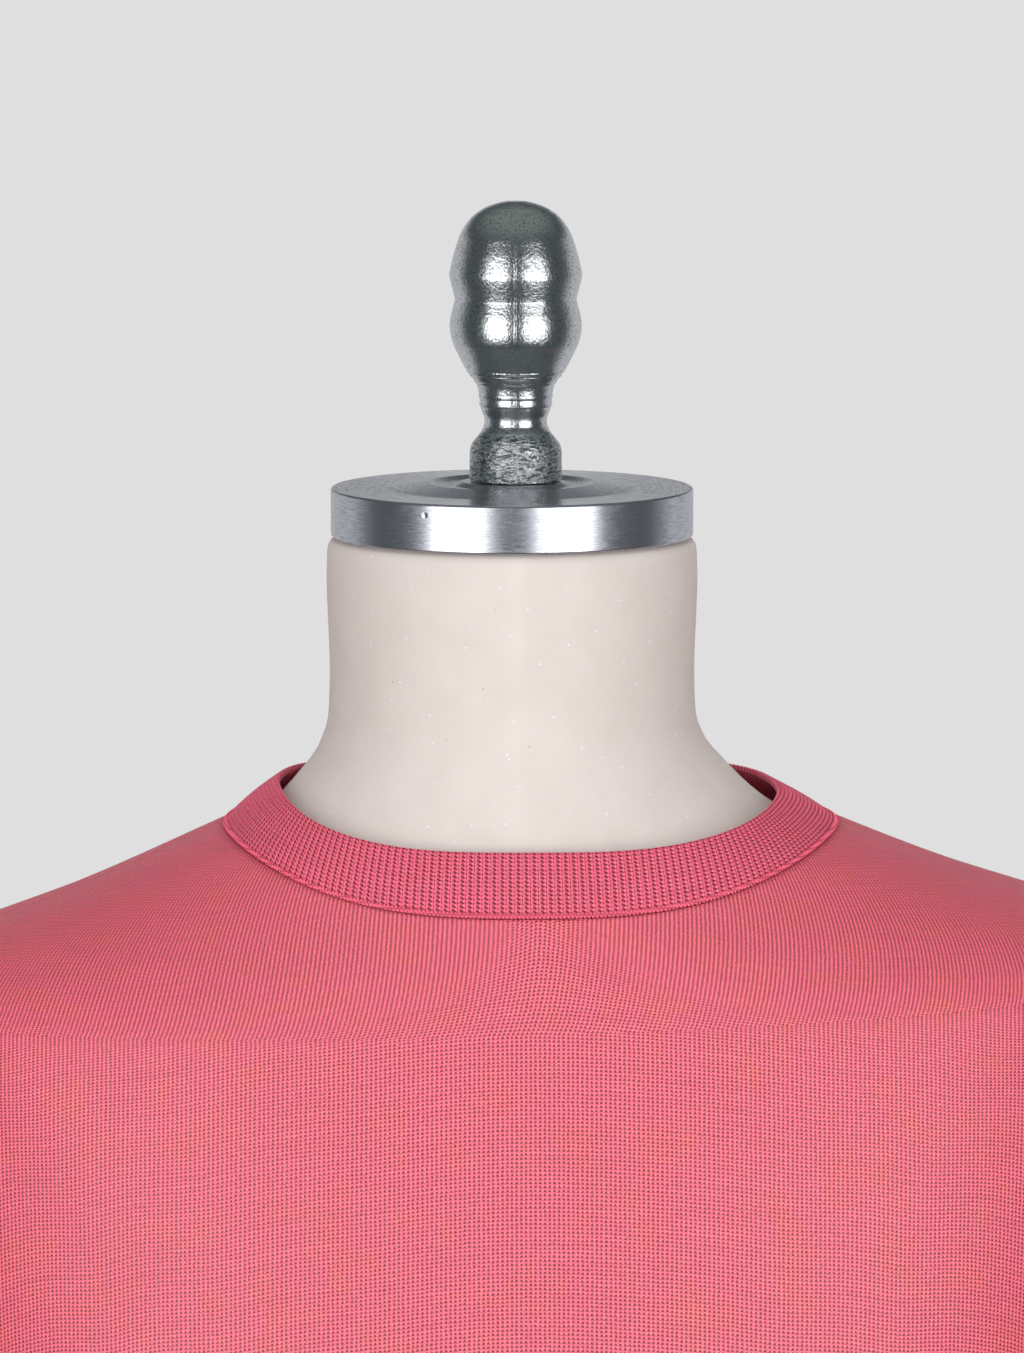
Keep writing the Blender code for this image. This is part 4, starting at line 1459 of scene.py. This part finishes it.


# ---------------------------------------------------------------- creases
FRONT_CREASES = table(
    Crease,
    (0.125, 0.602, 48, 0.070, 0.016, 0.0006, 0.004),    # faint, in the part that shows
    (-0.118, 0.590, -50, 0.060, 0.015, 0.0005, -0.004),
    (0.045, 0.530, 78, 0.080, 0.020, 0.0004, 0.003),
    (-0.060, 0.505, 100, 0.070, 0.022, -0.0004, 0.002),
    (0.010, 0.450, 12, 0.060, 0.014, 0.0004, 0.003),
    (0.190, 0.430, 24, 0.060, 0.012, 0.0022, 0.006),    # towards the underarms
    (0.205, 0.395, 38, 0.055, 0.011, -0.0016, -0.004),
    (0.180, 0.360, 20, 0.050, 0.010, 0.0018, 0.005),
    (-0.190, 0.425, -30, 0.065, 0.012, 0.0020, 0.005),
    (-0.200, 0.385, -18, 0.050, 0.010, 0.0017, 0.004),
    (-0.170, 0.345, -40, 0.045, 0.011, -0.0015, 0.003),
    (0.085, 0.300, 64, 0.075, 0.013, 0.0018, 0.006),    # lower body
    (-0.030, 0.260, 98, 0.070, 0.014, 0.0016, -0.005),
    (-0.120, 0.235, 112, 0.065, 0.012, 0.0020, 0.006),
    (0.150, 0.210, 72, 0.070, 0.012, 0.0022, 0.004),
    (0.040, 0.165, 20, 0.060, 0.010, 0.0016, 0.007),
    (-0.085, 0.140, -14, 0.070, 0.010, 0.0018, -0.006),
    (0.120, 0.118, 8, 0.055, 0.009, 0.0019, 0.005),
    (-0.175, 0.110, 16, 0.045, 0.009, 0.0016, 0.004),
    (0.015, 0.095, -6, 0.050, 0.009, 0.0013, 0.003),
)
BACK_CREASES = table(
    Crease,
    (0.000, 0.640, 4, 0.085, 0.013, 0.0010, 0.008),     # under the collar, across the nape
    (0.115, 0.585, -46, 0.065, 0.014, 0.0012, 0.005),
    (-0.120, 0.600, 44, 0.070, 0.014, 0.0011, -0.005),
    (0.060, 0.500, 82, 0.080, 0.016, 0.0012, 0.004),
    (-0.070, 0.470, 97, 0.085, 0.017, 0.0014, -0.005),
    (0.185, 0.425, 32, 0.055, 0.012, 0.0020, 0.005),
    (-0.190, 0.432, -26, 0.060, 0.012, 0.0021, -0.005),
    (0.195, 0.380, 20, 0.050, 0.011, -0.0015, 0.004),
    (-0.185, 0.372, -36, 0.055, 0.010, 0.0017, 0.004),
    (0.020, 0.330, -12, 0.090, 0.012, 0.0022, 0.010),   # the hollow of the back
    (-0.040, 0.295, 9, 0.080, 0.011, 0.0020, -0.008),
    (0.100, 0.270, 24, 0.065, 0.011, 0.0018, 0.006),
    (-0.130, 0.245, -30, 0.060, 0.012, 0.0020, 0.005),
    (0.030, 0.205, 74, 0.065, 0.012, 0.0017, 0.004),
    (0.150, 0.180, 100, 0.060, 0.012, 0.0020, -0.004),
    (-0.080, 0.150, 12, 0.070, 0.010, 0.0019, 0.006),
    (0.070, 0.120, -10, 0.060, 0.009, 0.0018, 0.005),
    (-0.170, 0.108, 18, 0.045, 0.009, 0.0016, 0.004),
)


# ---------------------------------------------------------------- the studio
@dataclass(frozen=True)
class Studio:
    """Camera, two tall softboxes, weaker lights overhead and behind, a pale backdrop and a floor."""

    distance: float = 1.9              # from the camera to the form's axis
    pitch: float = math.radians(7.8)
    aim: float = 0.9273                # height on the axis that the camera looks at
    lens: float = 156.0
    sensor: float = 36.0
    box_turn: float = math.radians(34.0)
    box_distance: float = 1.9
    box_height: float = 1.00
    box_size: tuple[float, float] = (1.25, 1.60)
    box_power: float = 18.5
    top_turn: float = math.radians(62)
    top_distance: float = 1.7
    top_size: tuple[float, float] = (1.5, 1.5)
    top_power: float = 10.5
    rear_distance: float = 2.2
    rear_height: float = 1.25
    rear_size: tuple[float, float] = (2.0, 1.6)
    rear_power: float = 24.0
    floor_radius: float = 2.1
    paper: str = "#DFDFDF"
    room: str = "#50575A"
    ceiling: str = "#808884"
    backdrop: str = "#C4C5C8"
    bounce: str = "#959392"            # what the room gives back to dull surfaces
    overhead: Ramp = Ramp(0.45, 0.95)  # where in a mirror the ceiling shows
    behind: Ramp = Ramp(0.10, 0.55)    # and the backdrop
    below: Ramp = Ramp(0.40, 0.14)

    def build(self) -> None:
        """Makes everything that isn't part of the object."""
        self.place_camera()
        self.place_lights()
        self.light_surround()
        self.lay_floor()
        bpy.context.scene.view_settings.view_transform = "Standard"

    def place_camera(self) -> None:
        """Sets the camera at the photo's height and tilt."""
        camera = bpy.data.cameras.new("photo_camera")
        camera.lens = self.lens
        camera.sensor_width = self.sensor
        holder = add_object("photo_camera", camera)
        reach, rise = math.cos(self.pitch), math.sin(self.pitch)
        holder.location = (0.0, -self.distance * reach, self.aim + self.distance * rise)
        holder.rotation_euler = (math.pi / 2 - self.pitch, 0.0, 0.0)
        bpy.context.scene.camera = holder

    def place_lights(self) -> None:
        """Sets the softboxes in front, and the lights overhead and behind, which the metal doesn't mirror."""
        across = math.sin(self.box_turn) * self.box_distance
        nearer = -math.cos(self.box_turn) * self.box_distance
        reach, rise = math.cos(self.top_turn), math.sin(self.top_turn)
        over = (0.0, -reach * self.top_distance, self.aim + rise * self.top_distance)
        behind = (0.0, self.rear_distance, self.rear_height)
        for name, place, size, power, mirrored in (
            ("softbox_left", (-across, nearer, self.box_height), self.box_size, self.box_power, True),
            ("softbox_right", (across, nearer, self.box_height), self.box_size, self.box_power, True),
            ("top_light", over, self.top_size, self.top_power, False),
            ("rear_light", behind, self.rear_size, self.rear_power, False),
        ):
            light = bpy.data.lights.new(name, "AREA")
            light.shape = "RECTANGLE"
            light.size, light.size_y = size
            light.energy = power
            holder = add_object(name, light)
            holder.location = place
            to_form = Vector((0.0, 0.0, self.aim)) - Vector(place)
            holder.rotation_euler = to_form.to_track_quat("-Z", "Y").to_euler()
            holder.visible_glossy = mirrored

    def light_surround(self) -> None:
        """Makes the paper pale for the camera; for the rest the room is dark, with a pale backdrop."""
        world = bpy.data.worlds.new("studio")
        world.use_nodes = True
        bpy.context.scene.world = world
        add = partial(add_node, world.node_tree)
        way = add("SeparateXYZ", {0: add("TexCoord", out="Generated")}).node.outputs
        overhead = add("MapRange", self.overhead.of(way["Z"]), **SMOOTH)
        walls = add("Mix", {0: overhead, 6: linear(self.room), 7: linear(self.ceiling)}, **RGBA)
        behind = add("MapRange", self.behind.of(way["Y"]), **SMOOTH)
        below = add("MapRange", self.below.of(way["Z"]), **SMOOTH)
        on_backdrop = add("Math", {0: behind, 1: below}, operation="MULTIPLY")
        around = add("Mix", {0: on_backdrop, 6: walls, 7: linear(self.backdrop)}, **RGBA)
        rays = add("LightPath").node.outputs
        lit = add("Mix", {0: rays["Is Glossy Ray"], 6: linear(self.bounce), 7: around}, **RGBA)
        shown = add("Mix", {0: rays["Is Camera Ray"], 6: lit, 7: linear(self.paper)}, **RGBA)
        feed(world.node_tree, world.node_tree.nodes["Background"], {"Color": shown})

    def lay_floor(self) -> None:
        """Lays the round floor under the stand; the metal doesn't mirror it, as in a darkened room."""
        bm = bmesh.new()
        bmesh.ops.create_circle(bm, cap_ends=True, segments=96, radius=self.floor_radius)
        floor = mesh_object("floor", bm, FloorPaper().material())
        floor.visible_glossy = False


def main() -> None:
    """Builds the dressed part and the studio round it."""
    logging.basicConfig(level=logging.INFO, format="%(name)s: %(message)s")
    knit, rib = PlainKnit().material(), RibKnit().material()
    torso = Torso()
    BodyPanel(torso, Facing.FRONT, FRONT_CREASES).build(knit)
    BodyPanel(torso, Facing.BACK, BACK_CREASES).build(knit)
    for side in (1, -1):
        Sleeve(torso, side).build(knit)
    Collar(torso).build(rib)
    form = DisplayForm(torso)
    form.build_body(Canvas().material())
    form.build_cap(BrushedAluminium().material())
    form.build_finial(PolishedAluminium().material())
    form.build_stand(SatinSteel().material())
    Studio().build()


if __name__ == "__main__":
    main()
